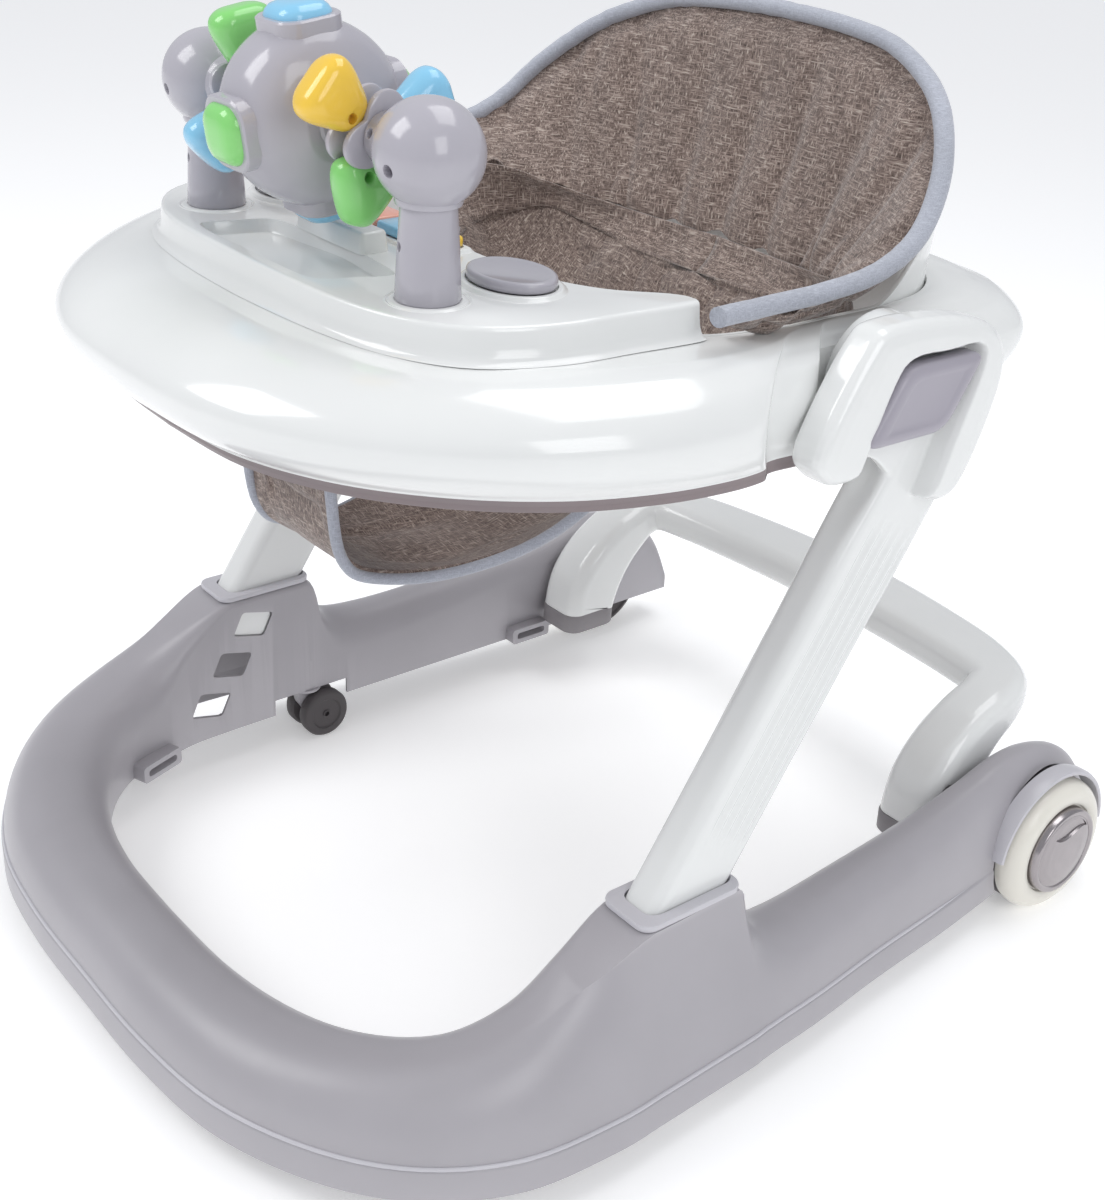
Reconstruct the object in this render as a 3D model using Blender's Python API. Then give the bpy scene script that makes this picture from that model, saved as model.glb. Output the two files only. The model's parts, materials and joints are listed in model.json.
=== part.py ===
"""Baby walker: U-shaped rolling base, two slanting arms that slide in it, a play tray with a fabric
seat, a rear grab handle, and a toy bar.

Metres, +Z up, ground at Z = 0. The child faces -Y. The walker is symmetric about the plane X = 0, and
"left" is the child's left, at +X. The origin is on the ground, at the middle of the length and width.
"""
import math

import bmesh
import bpy
from mathutils import Matrix, Vector

GAP = 0.0003                    # clearance between pieces that touch

# Base
SKIRT_Z = 0.022                 # lower edge of the outer wall
INNER_SKIRT_Z = 0.030           # lower edge of the inner wall
CREASE_HEIGHT = 0.0235          # skirt band, from the lower edge to the crease
SKIRT_STEP = 0.002              # how far the band stands proud
BASE_WALL = 0.003
# Half plan of the base from the middle of the front to the rear end:
# outer x, outer y, inner x, inner y, top z, neck (1 where the arm socket rises), skirt (1 with band)
BASE_STATIONS = (
    (0.000, -0.348, 0.000, -0.283, 0.081, 0.0, 1.0),
    (0.075, -0.347, 0.070, -0.280, 0.081, 0.0, 1.0),
    (0.149, -0.337, 0.132, -0.267, 0.082, 0.0, 1.0),
    (0.214, -0.309, 0.176, -0.246, 0.085, 0.0, 1.0),
    (0.260, -0.270, 0.205, -0.217, 0.091, 0.0, 1.0),
    (0.288, -0.219, 0.217, -0.183, 0.103, 0.15, 1.0),
    (0.2955, -0.160, 0.2245, -0.154, 0.124, 0.6, 1.0),
    (0.2945, -0.122, 0.2262, -0.120, 0.1415, 1.0, 1.0),
    (0.293, -0.090, 0.2266, -0.090, 0.1425, 1.0, 1.0),
    (0.291, -0.048, 0.2266, -0.048, 0.1425, 1.0, 1.0),
    (0.2895, -0.035, 0.2266, -0.035, 0.114, 0.5, 1.0),
    (0.288, -0.018, 0.2266, -0.018, 0.099, 0.1, 1.0),
    (0.285, 0.020, 0.2266, 0.020, 0.094, 0.0, 1.0),
    (0.278, 0.080, 0.2266, 0.080, 0.097, 0.0, 1.0),
    (0.272, 0.150, 0.2266, 0.150, 0.103, 0.0, 1.0),
    (0.267, 0.200, 0.2266, 0.200, 0.111, 0.0, 0.6),
    (0.264, 0.235, 0.2266, 0.235, 0.119, 0.0, 0.0),
    (0.263, 0.265, 0.2266, 0.265, 0.1195, 0.0, 0.0),
    (0.261, 0.300, 0.2266, 0.300, 0.108, 0.0, 0.0),
    (0.258, 0.325, 0.2266, 0.325, 0.085, 0.0, 0.0),
    (0.255, 0.340, 0.2266, 0.340, 0.052, 0.0, 0.0),
)
BASE_SAMPLES = 2                # sections between two stations

# Arms
ARM_LEAN = math.radians(33.5)   # from the vertical, top to the rear
ARM_AXIS = Vector((0, math.sin(ARM_LEAN), math.cos(ARM_LEAN)))
ARM_FRONT = Vector((0, -math.cos(ARM_LEAN), math.sin(ARM_LEAN)))
ARM_ROOT_Y, ARM_ROOT_Z = -0.0825, 0.1425    # where the arm's middle line crosses the socket's mouth
ARM_IN_X, ARM_OUT_X = 0.2335, 0.2615
ARM_DEPTH_LOW, ARM_DEPTH_HIGH = 0.0550, 0.0605
ARM_CORNER = 0.007
ARM_BURIED = 0.047              # length inside the base, along the axis
HEIGHT_STEP = 0.036             # between two height settings, along the axis
HEAD_IN_X, HEAD_OUT_X = 0.2508, 0.2765
HEAD_DISC_R = 0.038              # inner part of the head, round the hinge
# Side outline of the arm head, (y, z), anticlockwise seen from the child's right
HEAD_OUTLINE = ((-0.026, 0.420), (-0.020, 0.401), (-0.002, 0.396), (0.030, 0.401), (0.064, 0.372),
                (0.096, 0.372), (0.122, 0.430), (0.116, 0.462), (0.086, 0.477), (0.026, 0.482),
                (0.004, 0.471))
BUTTON_Y, BUTTON_Z = 0.052, 0.436
BUTTON_HALF = ((0.0335, -0.0005), (0.0145, 0.0220))   # half width and half height vectors, (y, z)
BUTTON_DEPTH = 0.0135
BUTTON_TRAVEL = 0.004

# Height windows in the inner wall of the base, and the sprung lock buttons behind the top one
WINDOW_HALF = ((0.0135, -0.0035), (0.0045, 0.0093))
WINDOW_TOP_Y, WINDOW_TOP_Z = -0.0985, 0.119
WINDOW_WALL_X = 0.2281           # outer side of the thin wall that holds the windows
LOCK_TRAVEL = 0.005

# Wheels
WHEEL_Y, WHEEL_Z, WHEEL_R = 0.269, 0.051, 0.051
WHEEL_IN_X, WHEEL_MID_X, WHEEL_RIM_X, WHEEL_OUT_X = 0.238, 0.263, 0.2815, 0.2870
AXLE_R = 0.005
ARCH_R, ARCH_LIP = 0.0545, 0.0042
ARCH_STEPS = 12
CASTER_R, CASTER_TRAIL = 0.0205, 0.010
CASTERS = (("front", 0.120, -0.3025), ("middle", 0.236, -0.0475))
CASTER_SEAT = 0.0445            # height of the boss face that a caster turns under

# Handle
HANDLE_X = 0.199                # middle of a leg
HANDLE_PIVOT_Y, HANDLE_PIVOT_Z = 0.208, 0.088
HANDLE_PIN_R = 0.006
# Middle line of half the handle: x, y, z, width across, thickness
HANDLE_STATIONS = (
    (0.199, 0.2110, 0.0625, 0.046, 0.053),
    (0.199, 0.2170, 0.0830, 0.046, 0.054),
    (0.199, 0.2310, 0.1040, 0.046, 0.049),
    (0.199, 0.2520, 0.1220, 0.045, 0.041),
    (0.198, 0.2740, 0.1335, 0.044, 0.034),
    (0.187, 0.2930, 0.1375, 0.045, 0.030),
    (0.154, 0.3055, 0.1375, 0.052, 0.030),
    (0.108, 0.3125, 0.1375, 0.056, 0.030),
    (0.055, 0.3175, 0.1375, 0.059, 0.030),
    (0.000, 0.3200, 0.1375, 0.060, 0.030),
)
HANDLE_TIP = 0.017

# Tray: half plan, front to rear: outer x, outer y (widest line), hole x, hole y, bulge (1 full)
TRAY_STATIONS = (
    (0.000, -0.300, 0.000, -0.090, 1.0),
    (0.078, -0.295, 0.045, -0.092, 1.0),
    (0.142, -0.271, 0.095, -0.092, 1.0),
    (0.193, -0.232, 0.140, -0.086, 1.0),
    (0.231, -0.184, 0.175, -0.066, 1.0),
    (0.254, -0.133, 0.195, -0.038, 1.0),
    (0.2625, -0.090, 0.202, -0.010, 0.9),
    (0.2610, -0.058, 0.205, 0.008, 0.7),
    (0.2490, -0.044, 0.206, 0.018, 0.4),
    (0.2485, -0.008, 0.206, 0.034, 0.3),
    (0.2325, 0.004, 0.206, 0.046, 0.2),
    (0.2325, 0.055, 0.206, 0.066, 0.2),
    (0.2325, 0.120, 0.205, 0.090, 0.3),
    (0.2320, 0.172, 0.196, 0.133, 0.5),
    (0.2220, 0.208, 0.167, 0.169, 0.7),
    (0.1850, 0.2290, 0.117, 0.188, 0.7),
    (0.1000, 0.2370, 0.055, 0.196, 0.7),
    (0.0000, 0.2390, 0.000, 0.198, 0.7),
)
TRAY_SAMPLES = 2
DECK_Z = 0.466
TRAY_LOW_Z = 0.405              # lower edge of the white shell
PAN_Z = 0.3965                   # underside of the grey lower tray
TRAY_WALL = 0.003
PANEL_TOP = 0.486
PIVOT_Y, PIVOT_Z = 0.050, 0.440  # tray hinge through the arm heads
HUB_R = 0.009

# Toy bar
POST_X, POST_Y = 0.116, -0.1725
BAR_Z = 0.564
DRUM_R, DRUM_HALF = 0.052, 0.036
SPINNER_X = 0.064

WHITE = (0.86, 0.87, 0.87, 1)
GREY = (0.50, 0.50, 0.55, 1)
TOY_GREY = (0.42, 0.40, 0.44, 1)


def clear_scene():
    for old in list(bpy.data.objects):
        bpy.data.objects.remove(old, do_unlink=True)


def material(name, colour, roughness=0.3, metallic=0.0):
    """A Principled material, made once for each name."""
    found = bpy.data.materials.get(name)
    if found:
        return found
    made = bpy.data.materials.new(name)
    made.use_nodes = True
    shader = made.node_tree.nodes["Principled BSDF"]
    shader.inputs["Base Color"].default_value = colour
    shader.inputs["Roughness"].default_value = roughness
    shader.inputs["Metallic"].default_value = metallic
    made.diffuse_color = colour
    return made


def piece(name, verts, faces, mat, origin=(0, 0, 0), smooth=40):
    """A closed solid as its own object, with its origin on the given point."""
    base = Vector(origin)
    mesh = bpy.data.meshes.new(name)
    mesh.from_pydata([tuple(Vector(v) - base) for v in verts], [], faces)
    bm = bmesh.new()
    bm.from_mesh(mesh)
    bmesh.ops.remove_doubles(bm, verts=bm.verts, dist=1e-6)
    bmesh.ops.recalc_face_normals(bm, faces=bm.faces)
    bm.to_mesh(mesh)
    bm.free()
    mesh.shade_smooth()
    mesh.set_sharp_from_angle(angle=math.radians(smooth))
    made = bpy.data.objects.new(name, mesh)
    made.location = base
    made.data.materials.append(mat)
    bpy.context.scene.collection.objects.link(made)
    return made


def loft(rings, closed=False):
    """Vertices and faces of a skin through rings of equally many points, with flat ends unless closed."""
    count = len(rings[0])
    verts = [point for ring in rings for point in ring]
    faces = []
    last = len(rings) if closed else len(rings) - 1
    for i in range(last):
        a, b = i * count, (i + 1) % len(rings) * count
        for j in range(count):
            k = (j + 1) % count
            faces.append((a + j, a + k, b + k, b + j))
    if not closed:
        faces.append(tuple(range(count)))
        faces.append(tuple(range(len(verts) - count, len(verts))))
    return verts, faces


def hermite(rows, samples):
    """Rows of numbers joined by a smooth curve (Catmull-Rom), with this many steps between two rows."""
    out = []
    for i in range(len(rows) - 1):
        p0, p1 = rows[max(i - 1, 0)], rows[i]
        p2, p3 = rows[i + 1], rows[min(i + 2, len(rows) - 1)]
        for step in range(samples):
            t = step / samples
            out.append(tuple(
                0.5 * (2 * b + (c - a) * t + (2 * a - 5 * b + 4 * c - d) * t * t
                       + (3 * b - a - 3 * c + d) * t ** 3)
                for a, b, c, d in zip(p0, p1, p2, p3)))
    out.append(tuple(rows[-1]))
    return out


def bezier(p0, p1, p2, p3, steps):
    """Points of a cubic, both ends included."""
    out = []
    for i in range(steps + 1):
        t = i / steps
        weights = ((1 - t) ** 3, 3 * t * (1 - t) ** 2, 3 * t * t * (1 - t), t ** 3)
        out.append(tuple(sum(w * p[k] for w, p in zip(weights, (p0, p1, p2, p3))) for k in range(2)))
    return out


def mix(a, b, t):
    return a + (b - a) * t


def rounded_rectangle(width, height, radius, steps=3):
    """Corner arcs of a rectangle centred on 0, 0, anticlockwise."""
    out = []
    for corner in range(4):
        sx, sy = ((1, 1), (-1, 1), (-1, -1), (1, -1))[corner]
        cx, cy = sx * (width / 2 - radius), sy * (height / 2 - radius)
        for i in range(steps + 1):
            angle = math.radians(90 * (corner + i / steps))
            out.append((cx + radius * math.cos(angle), cy + radius * math.sin(angle)))
    return out


def turned(name, profile, centre, axis, mat, steps=24, spin=0.0):
    """A turned solid about X, Y or Z through centre: profile is (along axis, radius) points, closed on
    the axis at both ends unless its first and last points are off it, when it closes on itself."""
    frames = {"X": (Vector((1, 0, 0)), Vector((0, 1, 0)), Vector((0, 0, 1))),
              "Y": (Vector((0, 1, 0)), Vector((0, 0, 1)), Vector((1, 0, 0))),
              "Z": (Vector((0, 0, 1)), Vector((1, 0, 0)), Vector((0, 1, 0)))}
    along, side, up = frames[axis]
    middle = Vector(centre)
    rings = []
    for i in range(steps):
        angle = 2 * math.pi * i / steps + spin
        ray = side * math.cos(angle) + up * math.sin(angle)
        rings.append([middle + along * a + ray * r for a, r in profile])
    count = len(profile)
    verts = [p for ring in rings for p in ring]
    faces = []
    on_axis = profile[0][1] == 0 and profile[-1][1] == 0
    for i in range(steps):
        j = (i + 1) % steps
        for k in range(count - 1 if on_axis else count):
            m = (k + 1) % count
            quad = [i * count + k, i * count + m, j * count + m, j * count + k]
            if profile[k][1] == 0:
                quad.pop(3)
            if profile[m][1] == 0:
                quad.pop(2)
            faces.append(tuple(quad))
    return piece(name, verts, faces, mat, origin=centre)


def prism(name, outline, low, high, mat, plane="YZ", origin=(0, 0, 0)):
    """An outline in the named plane, extruded between two coordinates of the third axis."""
    place = {"YZ": lambda a, b, c: (c, a, b), "XZ": lambda a, b, c: (a, c, b),
             "XY": lambda a, b, c: (a, b, c)}[plane]
    rings = [[place(a, b, level) for a, b in outline] for level in (low, high)]
    return piece(name, *loft(rings), mat, origin=origin)


def cut(target, cutter, operation="DIFFERENCE"):
    """A Boolean whose other object is hidden as a helper. The base's many cuts need the manifold
    solver; the exact one loses the shell there."""
    modifier = target.modifiers.new(cutter.name, "BOOLEAN")
    modifier.object = cutter
    modifier.operation = operation
    modifier.solver = "MANIFOLD" if target.name == "base_shell" else "EXACT"
    cutter.hide_render = True
    cutter.display_type = "WIRE"


def bevelled(obj, width, segments=2, angle=30):
    modifier = obj.modifiers.new("round", "BEVEL")
    modifier.width = width
    modifier.segments = segments
    modifier.limit_method = "ANGLE"
    modifier.angle_limit = math.radians(angle)
    return obj


def parallelogram(y, z, halves, grow=0.0, corner=0.0035, steps=3):
    """A slanting window outline with round corners, (y, z) points."""
    (ay, az), (by, bz) = halves
    la, lb = math.hypot(ay, az), math.hypot(by, bz)
    ay, az = ay * (la + grow) / la, az * (la + grow) / la
    by, bz = by * (lb + grow) / lb, bz * (lb + grow) / lb
    corners = [Vector((y + s * ay + t * by, z + s * az + t * bz))
               for s, t in ((1, 1), (-1, 1), (-1, -1), (1, -1))]
    out = []
    for i in range(4):
        here, before, after = corners[i], corners[i - 1], corners[(i + 1) % 4]
        start = here + (before - here).normalized() * corner
        end = here + (after - here).normalized() * corner
        for k in range(steps + 1):
            t = k / steps
            point = start * (1 - t) ** 2 + here * 2 * t * (1 - t) + end * t * t
            out.append((point.x, point.y))
    return out


def arm_point(distance, forward=0.0):
    """(y, z) at a distance up the arm's middle line from the socket's mouth."""
    point = Vector((0, ARM_ROOT_Y, ARM_ROOT_Z)) + ARM_AXIS * distance + ARM_FRONT * forward
    return point.y, point.z


# ---- base ------------------------------------------------------------------------------------------

def base_profile(width, top, neck, skirt, inset):
    """Half section from the outer skirt over the top to the inner skirt: (distance in from the outer
    line, z). inset is the wall thickness for the inner skin, 0 for the outer one."""
    crease = SKIRT_Z + min(CREASE_HEIGHT, 0.4 * (top - SKIRT_Z))
    rise = top - crease
    shoulder = mix(0.52, 0.36, neck) * width
    radius = mix(0.030, 0.005, neck)
    step = SKIRT_STEP * skirt * (1 if inset == 0 else 0)
    points = [(-step, SKIRT_Z), (-step, crease - 0.0012 * skirt)]
    points += bezier((0, crease), (mix(0.0, 0.16, neck) * width, crease + mix(0.62, 0.45, neck) * rise),
                     (mix(0.25, 0.33, neck) * width, top - mix(0.0, 0.25, neck) * rise),
                     (shoulder, top), 3)
    radius = min(radius, 0.8 * (top - SKIRT_Z), 0.9 * (width - shoulder))
    for i in range(3):
        angle = math.radians(90 - 45 * i)
        points.append((width - radius + radius * math.cos(angle), top - radius + radius * math.sin(angle)))
    points.append((width, INNER_SKIRT_Z))
    if inset == 0:
        return points
    middle = width / 2
    return [(mix(a, middle, inset / middle), z if z <= INNER_SKIRT_Z else INNER_SKIRT_Z
             + (z - INNER_SKIRT_Z) * (top - INNER_SKIRT_Z - inset) / (top - INNER_SKIRT_Z))
            for a, z in points]


def base_ring(row, side):
    ox, oy, ix, iy, top, neck, skirt = row
    outer, inner = Vector((side * ox, oy, 0)), Vector((side * ix, iy, 0))
    width = (inner - outer).length
    across = (inner - outer).normalized()
    neck, skirt, top = min(max(neck, 0), 1), min(max(skirt, 0), 1), min(top, ARM_ROOT_Z)
    profile = base_profile(width, top, neck, skirt, 0)
    profile += reversed(base_profile(width, top, neck, skirt, BASE_WALL))
    return [outer + across * a + Vector((0, 0, z)) for a, z in profile]


def arm_section(distance, depth, low, high, corner=ARM_CORNER, side=1):
    y, z = arm_point(distance)
    middle = Vector((side * (low + high) / 2, y, z))
    return [middle + Vector((a, 0, 0)) + ARM_FRONT * b
            for a, b in rounded_rectangle(high - low, depth, corner)]


def arm_blank(name, start, end, grow, mat, side, depth=ARM_DEPTH_LOW):
    rings = [arm_section(d, depth + 2 * grow, ARM_IN_X - grow, ARM_OUT_X + grow, side=side)
             for d in (start, end)]
    return piece(name, *loft(rings), mat)


def make_base(mat):
    half = hermite(BASE_STATIONS, BASE_SAMPLES)
    rings = [base_ring(row, -1) for row in reversed(half[1:])] + [base_ring(row, 1) for row in half]
    base = piece("base_shell", *loft(rings), mat)
    skin = len(rings[0]) // 2
    for side, label in ((1, "left"), (-1, "right")):
        end = rings[-1] if side > 0 else rings[0]
        wall = [[p + Vector((0, shift, 0)) for p in end[:skin]] for shift in (-BASE_WALL, 0)]
        cut(base, piece(f"end_wall_{label}", *loft(wall), mat), "UNION")
        arc = []
        for i in range(ARCH_STEPS + 1):
            angle = math.radians(mix(7, 176, i / ARCH_STEPS))
            ray = Vector((0, -math.cos(angle), math.sin(angle)))
            arc.append([Vector((side * x, WHEEL_Y, WHEEL_Z)) + ray * r for x, r in
                          ((0.242, ARCH_R - 0.003), (0.242, ARCH_R + ARCH_LIP),
                           (0.2715, ARCH_R + ARCH_LIP), (0.273, ARCH_R + ARCH_LIP - 0.0015),
                           (0.273, ARCH_R - 0.003))])
        cut(base, piece(f"arch_lip_{label}", *loft(arc), mat), "UNION")
        arch = turned(f"wheel_cut_{label}", [(side * 0.2345, 0), (side * 0.2345, ARCH_R),
                                             (side * 0.31, ARCH_R), (side * 0.31, 0)],
                      (0, WHEEL_Y, WHEEL_Z), "X", mat, steps=32)
        cut(base, arch)
        cut(base, arm_blank(f"arm_cut_{label}", -0.032, 0.09, 0.0006, mat, side))
        relief = prism(f"window_relief_{label}",
                       [arm_point(-0.105, 0.017), arm_point(-0.105, -0.017),
                        arm_point(-0.012, -0.017), arm_point(-0.012, 0.017)],
                       side * WINDOW_WALL_X, side * 0.2326, mat)
        cut(base, relief)
        for k in range(3):
            y = WINDOW_TOP_Y - k * HEIGHT_STEP * ARM_AXIS.y
            z = WINDOW_TOP_Z - k * HEIGHT_STEP * ARM_AXIS.z
            cut(base, prism(f"window_{label}_{k}", parallelogram(y, z, WINDOW_HALF),
                            side * 0.205, side * 0.2324, mat))
        for name, x, y in CASTERS:
            cut(base, turned(f"{name}_caster_cut_{label}", [(0, 0), (0, 0.035), (0.0438, 0.035), (0.0438, 0)],
                             (side * x, y, 0), "Z", mat, steps=24))
            top = 0.0795 if name == "front" else 0.070
            cut(base, turned(f"boss_{name}_{label}",
                             [(CASTER_SEAT, 0.0053), (CASTER_SEAT, 0.0095), (top, 0.0095), (top, 0),
                              (0.0635, 0), (0.0635, 0.0053)],
                             (side * x, y, 0), "Z", mat, steps=16), "UNION")
        for y in (-0.196, 0.172):
            slot_tab(base, side, y, mat, label)
    return base


def slot_tab(base, side, y, mat, label):
    """A small loop on the inner lower edge, where a non-slip pad clips in."""
    x = 0.2120 if y < 0 else 0.2266
    turn = Matrix.Rotation(side * math.radians(-20 if y < 0 else 0), 4, "Z")
    for kind, width, low, high, z0, z1 in (("tab", 0.040, -0.010, 0.0022, 0.0285, 0.0425),
                                           ("slot", 0.030, -0.020, 0.010, 0.0325, 0.0385)):
        block = [(a, b) for a, b in rounded_rectangle(width, z1 - z0, 0.0028)]
        rings = []
        for depth in (low, high):
            rings.append([turn @ Vector((side * depth, a, b)) + Vector((side * x, y, (z0 + z1) / 2))
                          for a, b in block])
        made = piece(f"{kind}_{label}_{y:.2f}", *loft(rings), mat)
        if kind == "tab":
            cut(base, made, "UNION")
        else:
            cut(base, made)


def make_arm_collar(side, label, mat):
    """The guide collar round the arm at the socket's mouth."""
    x0, x1 = 0.2275, 0.2690
    z = ARM_ROOT_Z + GAP
    outer = [(side * (x0 + x1) / 2 + a, -0.0845 + b) for a, b in rounded_rectangle(x1 - x0, 0.078, 0.006)]
    rings = [[(a, b, level) for a, b in outer] for level in (z, z + 0.004)]
    collar = piece(f"arm_collar_{label}", *loft(rings), mat)
    cut(collar, arm_blank(f"collar_cut_{label}", -0.03, 0.04, 0.0006, mat, side))
    return collar


# ---- arms ------------------------------------------------------------------------------------------

def make_arm(side, label, mat):
    rings = []
    for distance, depth in ((-ARM_BURIED, ARM_DEPTH_LOW), (0.086, ARM_DEPTH_LOW), (0.16, 0.0570),
                            (0.245, ARM_DEPTH_HIGH), (0.315, ARM_DEPTH_HIGH)):
        rings.append(arm_section(distance, depth, ARM_IN_X, ARM_OUT_X, side=side))
    arm = piece(f"arm_{label}", *loft(rings), mat)
    head = prism(f"arm_head_{label}", HEAD_OUTLINE, side * HEAD_IN_X, side * HEAD_OUT_X, mat)
    bevelled(head, 0.006, 2, 20)
    cut(arm, head, "UNION")
    low, high = side * (ARM_IN_X + 0.0001), side * (HEAD_IN_X + 0.003)
    disc = turned(f"head_disc_{label}", [(low, 0), (low, HEAD_DISC_R), (high, HEAD_DISC_R), (high, 0)],
                  (0, PIVOT_Y, PIVOT_Z), "X", mat)
    cut(arm, disc, "UNION")
    pocket = prism(f"button_pocket_{label}", parallelogram(BUTTON_Y, BUTTON_Z, BUTTON_HALF, 0.0006, 0.009),
                   side * (HEAD_OUT_X - 0.016), side * (HEAD_OUT_X + 0.02), mat)
    cut(arm, pocket)
    well = prism(f"lock_well_{label}",
                 parallelogram(WINDOW_TOP_Y, WINDOW_TOP_Z, WINDOW_HALF, 0.0002),
                 side * (ARM_IN_X - 0.01), side * (ARM_IN_X + 0.012), mat)
    cut(arm, well)
    bore = turned(f"hub_bore_{label}", [(side * (ARM_IN_X - 0.02), 0), (side * (ARM_IN_X - 0.02), 0.0095),
                                        (side * (ARM_IN_X + 0.012), 0.0095), (side * (ARM_IN_X + 0.012), 0)],
                  (0, PIVOT_Y, PIVOT_Z), "X", mat)
    cut(arm, bore)
    return arm


def make_fold_button(side, label, mat):
    x0 = HEAD_OUT_X - 0.016 + BUTTON_TRAVEL + 0.001
    button = prism(f"fold_button_{label}", parallelogram(BUTTON_Y, BUTTON_Z, BUTTON_HALF, -0.0004, 0.009),
                   side * x0, side * (x0 + BUTTON_DEPTH), mat,
                   origin=(side * (x0 + BUTTON_DEPTH), BUTTON_Y, BUTTON_Z))
    return bevelled(button, 0.0025, 2, 60)


def make_lock_button(side, label, mat):
    tip = WINDOW_WALL_X + 0.0005
    return prism(f"lock_button_{label}",
                 parallelogram(WINDOW_TOP_Y, WINDOW_TOP_Z, WINDOW_HALF, -0.0006),
                 side * tip, side * (tip + 0.0125), mat,
                 origin=(side * tip, WINDOW_TOP_Y, WINDOW_TOP_Z))


# ---- wheels ----------------------------------------------------------------------------------------

def make_rear_wheel(side, label, dark, cream, silver, steel):
    centre = (0, WHEEL_Y, WHEEL_Z)
    bore = AXLE_R + GAP

    def at(profile):
        return [(side * a, r) for a, r in profile]

    turned(f"rear_tyre_{label}", at([(WHEEL_IN_X, bore), (WHEEL_IN_X, 0.046),
                                     (WHEEL_IN_X + 0.004, WHEEL_R - 0.001),
                                     (WHEEL_MID_X, WHEEL_R - 0.001), (WHEEL_MID_X, bore)]),
           centre, "X", dark, steps=28)
    low = WHEEL_MID_X + GAP
    turned(f"rear_rim_{label}", at([(low, bore), (low, WHEEL_R - 0.0005), (low + 0.006, WHEEL_R),
                                    (low + 0.0115, WHEEL_R - 0.002), (WHEEL_RIM_X - 0.0015, WHEEL_R - 0.0065),
                                    (WHEEL_RIM_X, WHEEL_R - 0.0115), (WHEEL_RIM_X - 0.001, 0.0355),
                                    (WHEEL_RIM_X - 0.004, 0.0345), (WHEEL_RIM_X - 0.004, bore)]),
           centre, "X", cream, steps=32)
    cap_low = WHEEL_RIM_X - 0.004 + GAP
    turned(f"rear_cap_{label}", at([(cap_low, 0), (cap_low, 0.0335), (WHEEL_OUT_X - 0.002, 0.0325),
                                    (WHEEL_OUT_X, 0.029), (WHEEL_OUT_X, 0)]), centre, "X", silver, steps=32)
    turned(f"rear_axle_{label}", at([(0.2299, 0), (0.2299, AXLE_R + 0.004),
                                     (WHEEL_IN_X - 0.001, AXLE_R + 0.004),
                                     (WHEEL_IN_X - 0.001, AXLE_R), (cap_low - 0.001, AXLE_R),
                                     (cap_low - 0.001, 0)]), centre, "X", steel, steps=16)


def make_caster(name, x, y, grey, dark):
    """A trailing twin wheel: the fork with its stem turns about Z, the joined wheels about X."""
    wheel_y = y + CASTER_TRAIL
    half, disc = 0.0165, 0.0115
    fork = turned(f"caster_fork_{name}", [(0.0418, 0), (0.0418, 0.012),
                                          (CASTER_SEAT - 0.0008, 0.012), (CASTER_SEAT - 0.0008, 0.005),
                                          (0.0625, 0.005), (0.0625, 0)], (x, y, 0), "Z", grey, steps=20)
    web = prism(f"caster_web_{name}", ((wheel_y + 0.005, 0.014), (wheel_y + 0.008, 0.026), (y + 0.011, 0.042),
                                       (y - 0.011, 0.042), (y - 0.008, 0.030), (wheel_y - 0.008, 0.014)),
                x - 0.0045, x + 0.0045, grey)
    cut(fork, web, "UNION")
    cut(fork, turned(f"caster_bore_{name}", [(-0.02, 0), (-0.02, 0.0033), (0.02, 0.0033), (0.02, 0)],
                     (x, wheel_y, CASTER_R), "X", grey, steps=16))
    one = [(half, 0), (half, CASTER_R - 0.002), (half - 0.002, CASTER_R), (half - disc + 0.001, CASTER_R),
           (half - disc, CASTER_R - 0.0015), (half - disc, 0.003)]
    pin = turned(f"caster_wheels_{name}", [(-a, r) for a, r in one] + one[::-1],
                 (x, wheel_y, CASTER_R), "X", dark, steps=20)
    return fork, pin


# ---- handle ----------------------------------------------------------------------------------------

def handle_rings(rows):
    """Sections square to the path, whose width lies level and across it."""
    centres = [Vector(row[:3]) for row in rows]
    rings = []
    for i, row in enumerate(rows):
        before, after = centres[max(i - 1, 0)], centres[min(i + 1, len(rows) - 1)]
        along = (after - before).normalized()
        if i == 0:
            along = Vector((0, 0, 1))
        if i == len(rows) - 1:
            along = Vector((-1, 0, 0))
        # the section's width turns from along X on the legs to along Y on the bow
        level = Vector((along.y, -along.x, 0)) if abs(along.x) > 0.05 else Vector((1, 0, 0))
        level = level.normalized()
        level = level if level.x + level.y >= 0 else -level
        up = along.cross(level).normalized()
        corner = min(0.010, row[4] * 0.42)
        rings.append([centres[i] + level * a + up * b
                      for a, b in rounded_rectangle(row[3], row[4], corner)])
    return rings


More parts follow.
